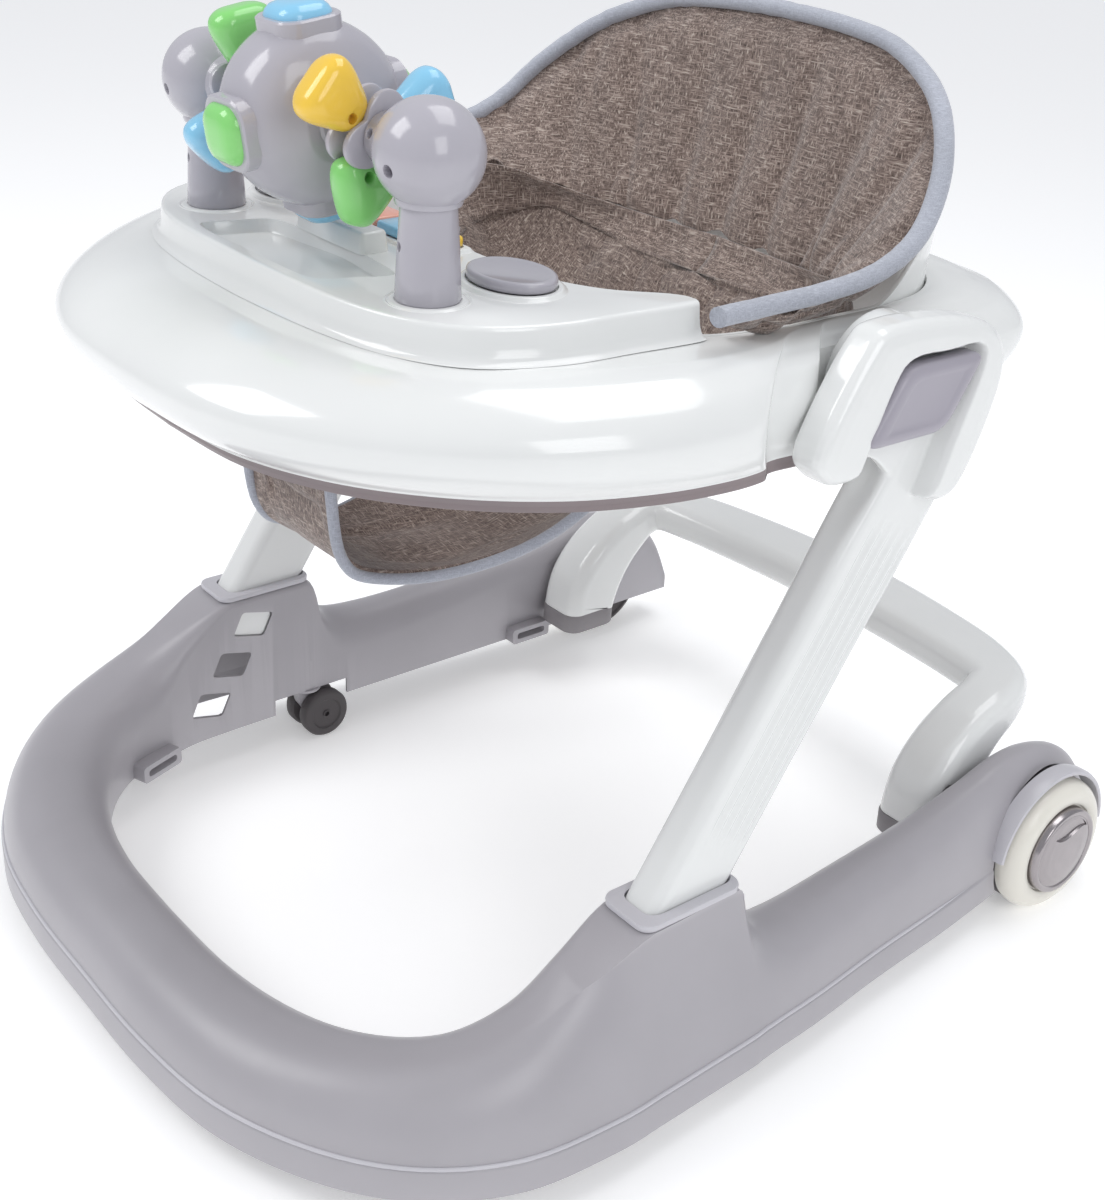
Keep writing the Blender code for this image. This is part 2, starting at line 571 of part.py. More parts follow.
def make_handle(mat, tip_mat):
    half = handle_rings(hermite(HANDLE_STATIONS, 2))
    mirrored = [[Vector((-p.x, p.y, p.z)) for p in ring] for ring in reversed(half[:-1])]
    handle = piece("push_handle", *loft(half + mirrored), mat,
                   origin=(0, HANDLE_PIVOT_Y, HANDLE_PIVOT_Z))
    for side, label in ((1, "left"), (-1, "right")):
        cut(handle, turned(f"handle_bore_{label}",
                           [(side * 0.2035, 0), (side * 0.2035, HANDLE_PIN_R + GAP),
                            (side * 0.23, HANDLE_PIN_R + GAP), (side * 0.23, 0)],
                           (0, HANDLE_PIVOT_Y, HANDLE_PIVOT_Z), "X", mat, steps=20))
        turned(f"handle_pin_{label}", [(side * 0.2045, 0), (side * 0.2045, HANDLE_PIN_R - 0.0006),
                                       (side * 0.2051, HANDLE_PIN_R), (side * (0.2266 - GAP), HANDLE_PIN_R),
                                       (side * (0.2266 - GAP), 0)],
               (0, HANDLE_PIVOT_Y, HANDLE_PIVOT_Z), "X", tip_mat, steps=20)
        x, y, z, width, depth = HANDLE_STATIONS[0]
        rings = []
        for level, grow, shift in ((z - 0.0003, 0.0, 0.0), (z - HANDLE_TIP + 0.002, 0.001, -0.0015),
                                   (z - HANDLE_TIP, -0.002, -0.0015)):
            rings.append([(side * x + a, y + b + shift, level) for a, b in
                          rounded_rectangle(width + grow, depth + grow, 0.010)])
        tip = piece(f"handle_tip_{label}", *loft(rings), tip_mat)
        tip.parent = handle
        tip.matrix_parent_inverse = Matrix.Translation(-handle.location)
    return handle


# ---- tray ------------------------------------------------------------------------------------------

def tray_rows():
    half = hermite(TRAY_STATIONS, TRAY_SAMPLES)
    return [(1, row) for row in half] + [(-1, row) for row in reversed(half[1:-1])]


def tray_ring(side, row, profile):
    """profile maps (gap between widest line and hole, bulge) to (distance in, z) points."""
    ox, oy, hx, hy, bulge = row
    outer, hole = Vector((side * ox, oy, 0)), Vector((side * hx, hy, 0))
    span = (hole - outer).length
    across = (hole - outer).normalized()
    return [outer + across * a + Vector((0, 0, z)) for a, z in profile(span, min(max(bulge, 0.2), 1))]


def top_profile(span, bulge):
    k = min(1, (span - 0.006) / 0.066)
    skin = ((0.060, 0.466), (0.036, 0.4625), (0.014, 0.453), (0.001, 0.440), (0.002, 0.4275),
            (0.011, 0.416), (0.025, TRAY_LOW_Z))
    inner = ((0.060, 0.463), (0.037, 0.4594), (0.0162, 0.4505), (0.004, 0.439), (0.005, 0.4288),
             (0.0137, 0.4178), (0.028, TRAY_LOW_Z))

    def pull(points):
        return [(a * k if a > 0.03 else a * k * mix(0.35, 1, bulge), z) for a, z in points]

    outside = [(span, DECK_Z - 0.018), (span, DECK_Z - 0.002)] + pull(skin)
    inside = [(span - TRAY_WALL, DECK_Z - 0.018), (span - TRAY_WALL, DECK_Z - 0.005)] + pull(inner)
    return outside + inside[::-1]


def pan_profile(span, bulge):
    k = min(1, (span - 0.006) / 0.066) * mix(0.35, 1, bulge)
    edge, foot = 0.027 * k, 0.031 * k
    top = TRAY_LOW_Z - GAP
    return [(edge, top), (foot, PAN_Z), (span - 0.0005, PAN_Z), (span - 0.0005, DECK_Z - 0.018 - GAP),
            (span - TRAY_WALL, DECK_Z - 0.018 - GAP), (span - TRAY_WALL, PAN_Z + 0.0025),
            (foot + 0.002, PAN_Z + 0.0025), (edge + 0.0022, top)]


def make_tray(white, grey):
    rows = tray_rows()
    top = piece("tray_top", *loft([tray_ring(s, r, top_profile) for s, r in rows], closed=True), white)
    for side, label in ((1, "left"), (-1, "right")):
        hub = turned(f"tray_hub_{label}", [(side * 0.2275, 0), (side * 0.2275, HUB_R), (side * 0.244, HUB_R),
                                           (side * 0.2445, HUB_R - 0.0005), (side * 0.2445, 0)],
                     (0, PIVOT_Y, PIVOT_Z), "X", white, steps=20)
        cut(top, hub, "UNION")
    pan = piece("tray_base", *loft([tray_ring(s, r, pan_profile) for s, r in rows], closed=True), grey)
    return top, pan


def make_seat_ring(mat):
    """The white hoop that stands in the tray's hole and rises behind the back."""
    rings = []
    for side, row in tray_rows():
        _, _, hx, hy, _ = row
        out = Vector((side * hx, hy - 0.05, 0)).normalized()
        wall_out = Vector((side * hx, hy, 0)) - out * 0.0006
        wall_in = wall_out - out * 0.0028
        rear = min(max((hy - 0.085) / 0.075, 0), 1)
        rise = rear * rear * (3 - 2 * rear)
        top = mix(DECK_Z - 0.0005, 0.528, rise)
        lean = out * 0.006 * rise
        knee = min(DECK_Z + 0.001, top - 0.001)
        rings.append([wall_out + Vector((0, 0, 0.418)), wall_out + Vector((0, 0, knee)),
                      wall_out + lean + Vector((0, 0, top)), wall_in + lean + Vector((0, 0, top)),
                      wall_in + Vector((0, 0, knee)), wall_in + Vector((0, 0, 0.418))])
    return piece("seat_ring", *loft(rings, closed=True), mat)


PANEL_HALF = ((0.0, -0.216), (0.075, -0.214), (0.128, -0.204), (0.165, -0.180), (0.184, -0.140),
              (0.189, -0.095), (0.1935, -0.052), (0.188, -0.046), (0.176, -0.052), (0.150, -0.078),
              (0.110, -0.094), (0.045, -0.0965), (0.0, -0.0965))


def make_panel(mat):
    half = hermite(PANEL_HALF, 2)
    outline = half + [(-x, y) for x, y in reversed(half[1:-1])]
    outline = outline[::-1]
    centre = Vector((0, -0.14))
    rings = []
    for level, grow in ((DECK_Z + 0.0006, 0.0035), (PANEL_TOP - 0.0015, 0.0008), (PANEL_TOP, -0.0008)):
        ring = []
        for x, y in outline:
            away = (Vector((x, y)) - centre).normalized()
            ring.append((x + away.x * grow, y + min(away.y, 0) * grow, level))
        rings.append(ring)
    return piece("play_panel", *loft(rings), mat)


# ---- toys ------------------------------------------------------------------------------------------

def make_post(side, label, mat):
    x = side * POST_X
    post = turned(f"toy_post_{label}", [(PANEL_TOP + GAP, 0), (PANEL_TOP + GAP, 0.0180),
                                        (0.515, 0.0166), (0.5375, 0.0150), (0.5375, 0)],
                  (x, POST_Y, 0), "Z", mat, steps=24)
    r = 0.0300
    profile = [(-r, 0)] + [(-r * math.cos(math.radians(a)), r * 0.96 * math.sin(math.radians(a)))
                           for a in range(20, 180, 20)] + [(r, 0)]
    head = turned(f"toy_head_{label}", profile, (x, POST_Y, BAR_Z), "X", mat, steps=24)
    neck = turned(f"head_neck_{label}", [(-side * 0.010, 0), (-side * 0.010, 0.016), (-side * 0.040, 0.0145),
                                         (-side * 0.040, 0)], (x, POST_Y, BAR_Z), "X", mat, steps=20)
    cut(head, neck, "UNION")
    flat = prism(f"head_seat_{label}", ((POST_Y - 0.04, 0.50), (POST_Y + 0.04, 0.50),
                                        (POST_Y + 0.04, 0.5378), (POST_Y - 0.04, 0.5378)),
                 x - 0.05, x + 0.05, mat)
    cut(head, flat)
    socket = turned(f"head_bore_{label}", [(-side * 0.0150, 0), (-side * 0.0150, 0.0043),
                                           (-side * 0.06, 0.0043), (-side * 0.06, 0)],
                    (x, POST_Y, BAR_Z), "X", mat, steps=16)
    cut(head, socket)
    return post, head


def make_drum(mat, colours):
    r, h = DRUM_R, DRUM_HALF
    curve = [(0.030, 0.33), (0.030, 0.60), (0.0265, 0.80), (0.017, 0.94), (0.006, 1.0)]
    outer = [(-a, b * r) for a, b in curve] + [(a, b * r) for a, b in reversed(curve)]
    profile = [(-h, 0.0043), (-h, 0.016)] + outer + [(h, 0.016), (h, 0.0043)]
    drum = turned("drum", profile, (0, POST_Y, BAR_Z), "X", mat, steps=32)
    for name, degrees, mat_pad in (("top", 98, colours["blue"]), ("front", 188, colours["green"]),
                                   ("bottom", 278, colours["blue"]), ("rear", 8, colours["green"])):
        angle = math.radians(degrees)
        out = Vector((0, math.cos(angle), math.sin(angle)))
        along = Vector((0, -math.sin(angle), math.cos(angle)))
        middle = Vector((0, POST_Y, BAR_Z))
        rings = []
        for height, scale in ((DRUM_R - 0.001, 1.0), (DRUM_R + 0.005, 0.92), (DRUM_R + 0.0095, 0.62)):
            rings.append([middle + out * height + along * a + Vector((b, 0, 0))
                          for a, b in rounded_rectangle(0.034 * scale, 0.036 * scale, 0.012 * scale)])
        pad = piece(f"drum_pad_{name}", *loft(rings), mat_pad)
        cut(pad, turned(f"pad_seat_{name}", [(-0.05, 0), (-0.05, DRUM_R + GAP), (0.05, DRUM_R + GAP),
                                             (0.05, 0)], (0, POST_Y, BAR_Z), "X", mat, steps=64))


def make_spinner(side, label, mat, beads):
    """A lobed hub on the bar with three rounded beads."""
    x = side * SPINNER_X
    hub = turned(f"spinner_hub_{label}", [(-0.010, 0.0043), (-0.010, 0.013), (0.010, 0.013), (0.010, 0.0043)],
                 (x, POST_Y, BAR_Z), "X", mat, steps=24)
    for degrees, colour, mat_bead in beads:
        angle = math.radians(degrees)
        out = Vector((0, math.cos(angle), math.sin(angle)))
        along = Vector((0, -math.sin(angle), math.cos(angle)))
        middle = Vector((x, POST_Y, BAR_Z))
        rings = []
        for reach, width, thick in ((0.0136, 0.016, 0.012), (0.020, 0.030, 0.022), (0.034, 0.038, 0.026),
                                    (0.0455, 0.031, 0.022), (0.050, 0.018, 0.012)):
            rings.append([middle + out * reach + along * a + Vector((b, 0, 0))
                          for a, b in rounded_rectangle(width, thick, 0.4 * thick)])
        piece(f"bead_{label}_{colour}", *loft(rings), mat_bead)
    return hub


def make_toys(toy, colours, steel):
    for side, label in ((1, "left"), (-1, "right")):
        make_post(side, label, toy)
    half = POST_X - 0.016
    turned("toy_axle", [(-half, 0), (-half, 0.004), (half, 0.004), (half, 0)], (0, POST_Y, BAR_Z), "X", steel,
           steps=16)
    make_drum(toy, colours)
    make_spinner(1, "left", toy, ((140, "yellow", colours["yellow"]), (255, "green", colours["green"]),
                                  (20, "blue", colours["blue"])))
    make_spinner(-1, "right", toy, ((100, "green", colours["green"]), (225, "blue", colours["blue"]),
                                    (340, "yellow", colours["yellow"])))


def oval(cx, cy, rx, ry, steps=24):
    return [(cx + rx * math.cos(2 * math.pi * i / steps), cy + ry * math.sin(2 * math.pi * i / steps))
            for i in range(steps)]


def make_play_keys(toy, colours):
    """Round pads and piano keys that press down into the panel, and the bar behind them."""
    z = PANEL_TOP + 0.0024
    for side, label in ((1, "left"), (-1, "right")):
        pad = prism(f"music_pad_{label}", oval(side * 0.1160, -0.1170, 0.030, 0.0225), z, z + 0.0060,
                    toy, "XY", origin=(side * 0.1160, -0.1170, z))
        bevelled(pad, 0.002, 2, 60)
    for k, (name, x) in enumerate((("coral", -0.026), ("blue", 0.004), ("yellow", 0.034))):
        outline = [(x + a, -0.1120 + b) for a, b in rounded_rectangle(0.027, 0.026, 0.004)]
        key = prism(f"key_{name}", outline, z, z + 0.0060, colours[name], "XY", origin=(x, -0.112, z))
        bevelled(key, 0.001, 1, 60)


# ---- seat ------------------------------------------------------------------------------------------

# Rim of the backrest and its lower edge, half: x, y, z
BACK_TOP = ((0.0, 0.1925, 0.600), (0.060, 0.1910, 0.598), (0.110, 0.1850, 0.591), (0.158, 0.1680, 0.571),
            (0.190, 0.1420, 0.541), (0.206, 0.1120, 0.510), (0.214, 0.0750, 0.494), (0.217, 0.0300, 0.488),
            (0.216, -0.0380, 0.486))
BACK_LOW = ((0.0, 0.1500, 0.445), (0.040, 0.1480, 0.445), (0.078, 0.1420, 0.446), (0.112, 0.1300, 0.450),
            (0.140, 0.1120, 0.457), (0.166, 0.0930, 0.466), (0.190, 0.0680, 0.4695), (0.199, 0.0290, 0.4695),
            (0.200, -0.0380, 0.4695))
BACK_THICK = 0.007


def make_seat_back(mat):
    top, low = hermite(BACK_TOP, 2), hermite(BACK_LOW, 2)
    mirrored = [[(-x, y, z) for x, y, z in reversed(row[1:])] for row in (top, low)]
    top, low = mirrored[0] + top, mirrored[1] + low
    rings = []
    for upper, lower in zip(top, low):
        upper, lower = Vector(upper), Vector(lower)
        away = Vector((lower.x, max(lower.y + 0.02, 0) * 1.2, 0)).normalized()
        bow = away * 0.003
        front = [lower.lerp(upper, v) + bow * math.sin(math.pi * v) for v in (0, 0.25, 0.5, 0.75, 1)]
        back = [point + away * BACK_THICK for point in front]
        rings.append(front + back[::-1])
    return piece("seat_back", *loft(rings), mat)


# Hammock of the seat, front to rear: y, z, half width, how far the edges turn up
SLING_STATIONS = (
    (-0.196, 0.3935, 0.050, 0.0),
    (-0.194, 0.3500, 0.050, 0.0),
    (-0.187, 0.3080, 0.050, 0.0),
    (-0.165, 0.2880, 0.052, 0.002),
    (-0.110, 0.2760, 0.062, 0.008),
    (-0.050, 0.2740, 0.082, 0.030),
    (0.005, 0.2840, 0.118, 0.085),
    (0.045, 0.3040, 0.165, 0.125),
    (0.080, 0.3340, 0.186, 0.100),
    (0.108, 0.3740, 0.176, 0.066),
    (0.124, 0.4030, 0.158, 0.042),
    (0.133, 0.4260, 0.122, 0.012),
)
SLING_THICK = 0.005


def make_sling(mat):
    rows = hermite(SLING_STATIONS, 2)
    across = [i / 5 - 1 for i in range(11)]
    rings = []
    for i, (y, z, half, lift) in enumerate(rows):
        before, after = rows[max(i - 1, 0)], rows[min(i + 1, len(rows) - 1)]
        along = Vector((0, after[0] - before[0], after[1] - before[1])).normalized()
        normal = Vector((0, -along.z, along.y))
        lower = [Vector((q * half, y, z + lift * abs(q) ** 2.4)) for q in across]
        upper = [p + normal * SLING_THICK for p in lower]
        rings.append(lower + upper[::-1])
    return piece("seat_sling", *loft(rings), mat)


def main():
    clear_scene()
    bpy.context.scene.unit_settings.scale_length = 1
    white = material("gloss_white", WHITE, 0.18)
    base_grey = material("satin_grey", GREY, 0.35)
    pan_grey = material("tray_grey", (0.33, 0.31, 0.33, 1), 0.4)
    toy = material("toy_grey", TOY_GREY, 0.25)
    button = material("button_grey", (0.40, 0.39, 0.44, 1), 0.3)
    dark = material("dark_rubber", (0.12, 0.11, 0.12, 1), 0.6)
    cream = material("cream_white", (0.85, 0.82, 0.76, 1), 0.3)
    silver = material("cap_silver", (0.42, 0.40, 0.42, 1), 0.2, 0.6)
    steel = material("axle_steel", (0.6, 0.6, 0.6, 1), 0.3, 1.0)
    tip = material("tip_rubber", (0.30, 0.28, 0.29, 1), 0.6)
    fabric = material("linen_brown", (0.25, 0.20, 0.18, 1), 0.9)
    colours = {"yellow": material("toy_yellow", (0.85, 0.50, 0.05, 1), 0.2),
               "green": material("toy_green", (0.20, 0.62, 0.20, 1), 0.2),
               "blue": material("toy_blue", (0.24, 0.58, 0.80, 1), 0.2),
               "coral": material("key_coral", (0.85, 0.30, 0.20, 1), 0.25)}

    make_base(base_grey)
    for side, label in ((1, "left"), (-1, "right")):
        make_arm_collar(side, label, base_grey)
        make_arm(side, label, white)
        make_fold_button(side, label, button)
        make_lock_button(side, label, white)
        make_rear_wheel(side, label, dark, cream, silver, steel)
        for name, x, y in CASTERS:
            make_caster(f"{name}_{label}", side * x, y, base_grey, dark)
    make_handle(white, tip)
    make_tray(white, pan_grey)
    make_seat_ring(white)
    make_panel(white)
    make_toys(toy, colours, steel)
    make_play_keys(toy, colours)
    make_seat_back(fabric)
    make_sling(fabric)


main()
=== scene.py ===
"""Baby walker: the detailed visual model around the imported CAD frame. Metres, +Z up, the child facing -Y."""
import json
import math

import bmesh
import bpy
import numpy as np
from mathutils import Matrix, Vector, noise


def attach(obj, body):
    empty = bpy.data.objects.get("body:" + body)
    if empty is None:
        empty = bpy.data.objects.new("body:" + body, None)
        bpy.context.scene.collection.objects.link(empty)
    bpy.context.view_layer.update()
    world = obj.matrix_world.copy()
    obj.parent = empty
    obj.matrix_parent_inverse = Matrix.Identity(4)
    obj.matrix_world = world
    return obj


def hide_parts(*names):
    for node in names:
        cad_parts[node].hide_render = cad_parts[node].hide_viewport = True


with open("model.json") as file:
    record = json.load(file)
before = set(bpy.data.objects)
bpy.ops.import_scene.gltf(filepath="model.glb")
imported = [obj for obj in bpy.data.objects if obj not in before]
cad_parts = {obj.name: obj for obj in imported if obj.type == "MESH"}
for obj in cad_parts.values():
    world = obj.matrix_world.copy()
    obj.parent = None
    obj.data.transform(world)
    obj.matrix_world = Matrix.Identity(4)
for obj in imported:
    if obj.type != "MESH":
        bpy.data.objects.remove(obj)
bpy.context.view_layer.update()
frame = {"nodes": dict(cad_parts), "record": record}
NODES = frame["nodes"]
SIDES = ((1, "left"), (-1, "right"))


# ---- camera and light ----------------------------------------------------------------------------

def set_camera():
    yaw, pitch, roll = (math.radians(a) for a in (50.07, 25.09, 2.84))
    forward = Vector((-math.sin(yaw) * math.cos(pitch), math.cos(yaw) * math.cos(pitch), -math.sin(pitch)))
    right = Vector((math.cos(yaw), math.sin(yaw), 0))
    up = right.cross(forward)
    turned_right = right * math.cos(roll) + up * math.sin(roll)
    turned_up = up * math.cos(roll) - right * math.sin(roll)
    data = bpy.data.cameras.new("camera")
    data.sensor_width = data.sensor_height = 36
    data.lens = 51.73
    data.shift_x, data.shift_y = -0.0152, -0.0468
    data.clip_start = 0.02
    camera = bpy.data.objects.new("camera", data)
    matrix = Matrix((turned_right, turned_up, -forward)).transposed().to_4x4()
    matrix.translation = (0.845, -0.6756, 0.7603)
    camera.matrix_world = matrix
    bpy.context.scene.collection.objects.link(camera)
    bpy.context.scene.camera = camera


def area_light(name, place, target, width, height, power, colour=(1, 1, 1)):
    data = bpy.data.lights.new(name, "AREA")
    data.shape = "RECTANGLE"
    data.size, data.size_y = width, height
    data.energy = power
    data.color = colour
    light = bpy.data.objects.new(name, data)
    light.location = place
    light.rotation_euler = (Vector(target) - Vector(place)).to_track_quat("-Z", "Y").to_euler()
    bpy.context.scene.collection.objects.link(light)


def set_stage():
    world = bpy.data.worlds.new("studio")
    bpy.context.scene.world = world
    world.use_nodes = True
    background = world.node_tree.nodes["Background"]
    background.inputs["Color"].default_value = (0.93, 0.95, 1.0, 1)
    background.inputs["Strength"].default_value = 0.58
    bpy.context.scene.view_settings.view_transform = "Standard"
    area_light("key", (-0.9, -1.5, 1.9), (0, 0, 0.3), 1.1, 1.1, 18)
    area_light("near", (2.0, -0.5, 1.5), (0, 0, 0.25), 0.9, 1.3, 10.5)
    area_light("top", (0.1, 0.5, 2.2), (0, 0, 0.3), 1.5, 1.0, 13)
    mesh = bpy.data.meshes.new("floor")
    mesh.from_pydata([(-6, -6, 0), (6, -6, 0), (6, 6, 0), (-6, 6, 0)], [], [(0, 1, 2, 3)])
    floor = bpy.data.objects.new("floor", mesh)
    floor.location.z = -0.0005
    bpy.context.scene.collection.objects.link(floor)
    mat = bpy.data.materials.new("floor")
    mat.use_nodes = True
    paper = mat.node_tree.nodes["Principled BSDF"].inputs
    paper["Base Color"].default_value = (0.93, 0.93, 0.93, 1)
    paper["Emission Color"].default_value = (1, 1, 1, 1)
    paper["Emission Strength"].default_value = 0.3
    paper["Roughness"].default_value = 0.9
    mesh.materials.append(mat)


# ---- materials -----------------------------------------------------------------------------------

def new_material(name):
    mat = bpy.data.materials.new(name)
    mat.use_nodes = True
    tree = mat.node_tree
    shader = tree.nodes["Principled BSDF"]
    place = tree.nodes.new("ShaderNodeTexCoord").outputs["Object"]

    def node(kind, **values):
        made = tree.nodes.new(kind)
        for key, value in values.items():
            if hasattr(made, key):
                setattr(made, key, value)
            else:
                made.inputs[key.replace("_", " ")].default_value = value
        return made

    return mat, tree.links.new, shader, place, node


def ramp_colours(ramp, stops):
    elements = ramp.color_ramp.elements
    for element, (at, colour) in zip(elements, stops[:2]):
        element.position, element.color = at, (*colour, 1)
    for at, colour in stops[2:]:
        elements.new(at).color = (*colour, 1)


def plastic(name, colour, rough=0.25, grain=0.0, grain_size=1500, tint=0.03, coat=0.0, edge_wear_and_highlight=0.04):
    """Moulded plastic: faint cloudy colour, uneven gloss, a moulded grain, and convex edges lightened, partly
    as rubbed wear and partly as a painted highlight.
    """
    mat, wire, shader, place, node = new_material(name)
    cloud = node("ShaderNodeTexNoise", Scale=14, Detail=5)
    wire(place, cloud.inputs["Vector"])
    ramp = node("ShaderNodeValToRGB")
    dark = tuple(max(0, c * (1 - tint)) for c in colour)
    light = tuple(min(1, c * (1 + tint)) for c in colour)
    ramp_colours(ramp, ((0.3, dark), (0.7, light)))
    wire(cloud.outputs["Fac"], ramp.inputs["Fac"])
    # Convex edges lightened by pointiness: partly rubbed wear, partly a painted highlight along the edges.
    edge = node("ShaderNodeNewGeometry")
    edge_ramp = node("ShaderNodeValToRGB")
    ramp_colours(edge_ramp, ((0.53, (0, 0, 0)), (0.62, (edge_wear_and_highlight, edge_wear_and_highlight, edge_wear_and_highlight))))
    wire(edge.outputs["Pointiness"], edge_ramp.inputs["Fac"])
    worn_and_lit = node("ShaderNodeMix", data_type="RGBA", blend_type="ADD")
    worn_and_lit.inputs["Factor"].default_value = 1
    wire(ramp.outputs["Color"], worn_and_lit.inputs["A"])
    wire(edge_ramp.outputs["Color"], worn_and_lit.inputs["B"])
    wire(worn_and_lit.outputs["Result"], shader.inputs["Base Color"])
    smear = node("ShaderNodeTexNoise", Scale=38, Detail=6, Roughness=0.65)
    wire(place, smear.inputs["Vector"])
    gloss = node("ShaderNodeMapRange")
    gloss.inputs["To Min"].default_value = rough * 0.8
    gloss.inputs["To Max"].default_value = min(1, rough * 1.25)
    wire(smear.outputs["Fac"], gloss.inputs["Value"])
    wire(gloss.outputs["Result"], shader.inputs["Roughness"])
    fine = node("ShaderNodeTexNoise", Scale=grain_size, Detail=2)
    wire(place, fine.inputs["Vector"])
    bump = node("ShaderNodeBump", Strength=max(grain, 0.02), Distance=0.0004)
    wire(fine.outputs["Fac"], bump.inputs["Height"])
    wire(bump.outputs["Normal"], shader.inputs["Normal"])
    if coat:
        shader.inputs["Coat Weight"].default_value = coat
        shader.inputs["Coat Roughness"].default_value = 0.06
    return mat


def metal(name, colour, rough, brushed=0.2):
    mat, wire, shader, place, node = new_material(name)
    shader.inputs["Metallic"].default_value = 1.0
    turn = node("ShaderNodeMapping")
    turn.inputs["Scale"].default_value = (4000, 60, 60)
    wire(place, turn.inputs["Vector"])
    lines = node("ShaderNodeTexNoise", Scale=1.0, Detail=3)
    wire(turn.outputs["Vector"], lines.inputs["Vector"])
    ramp = node("ShaderNodeValToRGB")
    ramp_colours(ramp, ((0.2, tuple(c * 0.85 for c in colour)), (0.8, colour)))
    wire(lines.outputs["Fac"], ramp.inputs["Fac"])
    wire(ramp.outputs["Color"], shader.inputs["Base Color"])
    gloss = node("ShaderNodeMapRange")
    gloss.inputs["To Min"].default_value = rough * 0.7
    gloss.inputs["To Max"].default_value = rough * 1.4
    wire(lines.outputs["Fac"], gloss.inputs["Value"])
    wire(gloss.outputs["Result"], shader.inputs["Roughness"])
    bump = node("ShaderNodeBump", Strength=brushed, Distance=0.0002)
    wire(lines.outputs["Fac"], bump.inputs["Height"])
    wire(bump.outputs["Normal"], shader.inputs["Normal"])
    return mat


def linen(name, stops, threads=420, bump_strength=0.6, flat=False):
    """A melange weave: two crossing sets of slubby threads over the surface."""
    mat, wire, shader, place, node = new_material(name)
    shader.inputs["Roughness"].default_value = 0.9
    shader.inputs["Sheen Weight"].default_value = 0.35
    shader.inputs["Sheen Roughness"].default_value = 0.5
    heights, shades = [], []
    weave = ((0.3, 2.6, 1.4), (2.6, 0.3, 0.6)) if flat else ((0.28, 0.28, 2.6), (2.2, 2.2, 0.28))
    for scale in (tuple(threads * part for part in row) for row in weave):
        stretch = node("ShaderNodeMapping")
        stretch.inputs["Scale"].default_value = scale
        wire(place, stretch.inputs["Vector"])
        thread = node("ShaderNodeTexNoise", Scale=1.0, Detail=2, Roughness=0.6)
        wire(stretch.outputs["Vector"], thread.inputs["Vector"])
        heights.append(thread.outputs["Fac"])
        shades.append(thread.outputs["Fac"])
    both = node("ShaderNodeMath", operation="MAXIMUM")
    wire(heights[0], both.inputs[0])
    wire(heights[1], both.inputs[1])
    ramp = node("ShaderNodeValToRGB")
    ramp_colours(ramp, stops)
    wire(both.outputs["Value"], ramp.inputs["Fac"])
    broad = node("ShaderNodeTexNoise", Scale=22, Detail=4)
    wire(place, broad.inputs["Vector"])
    fade = node("ShaderNodeMapRange")
    fade.inputs["To Min"].default_value = 0.82
    fade.inputs["To Max"].default_value = 1.16
    wire(broad.outputs["Fac"], fade.inputs["Value"])
    shade = node("ShaderNodeMix", data_type="RGBA", blend_type="MULTIPLY")
    shade.inputs["Factor"].default_value = 1
    wire(ramp.outputs["Color"], shade.inputs["A"])
    wire(fade.outputs["Result"], shade.inputs["B"])
    wire(shade.outputs["Result"], shader.inputs["Base Color"])
    bump = node("ShaderNodeBump", Strength=bump_strength, Distance=0.0008)
    wire(both.outputs["Value"], bump.inputs["Height"])
    wire(bump.outputs["Normal"], shader.inputs["Normal"])
    return mat


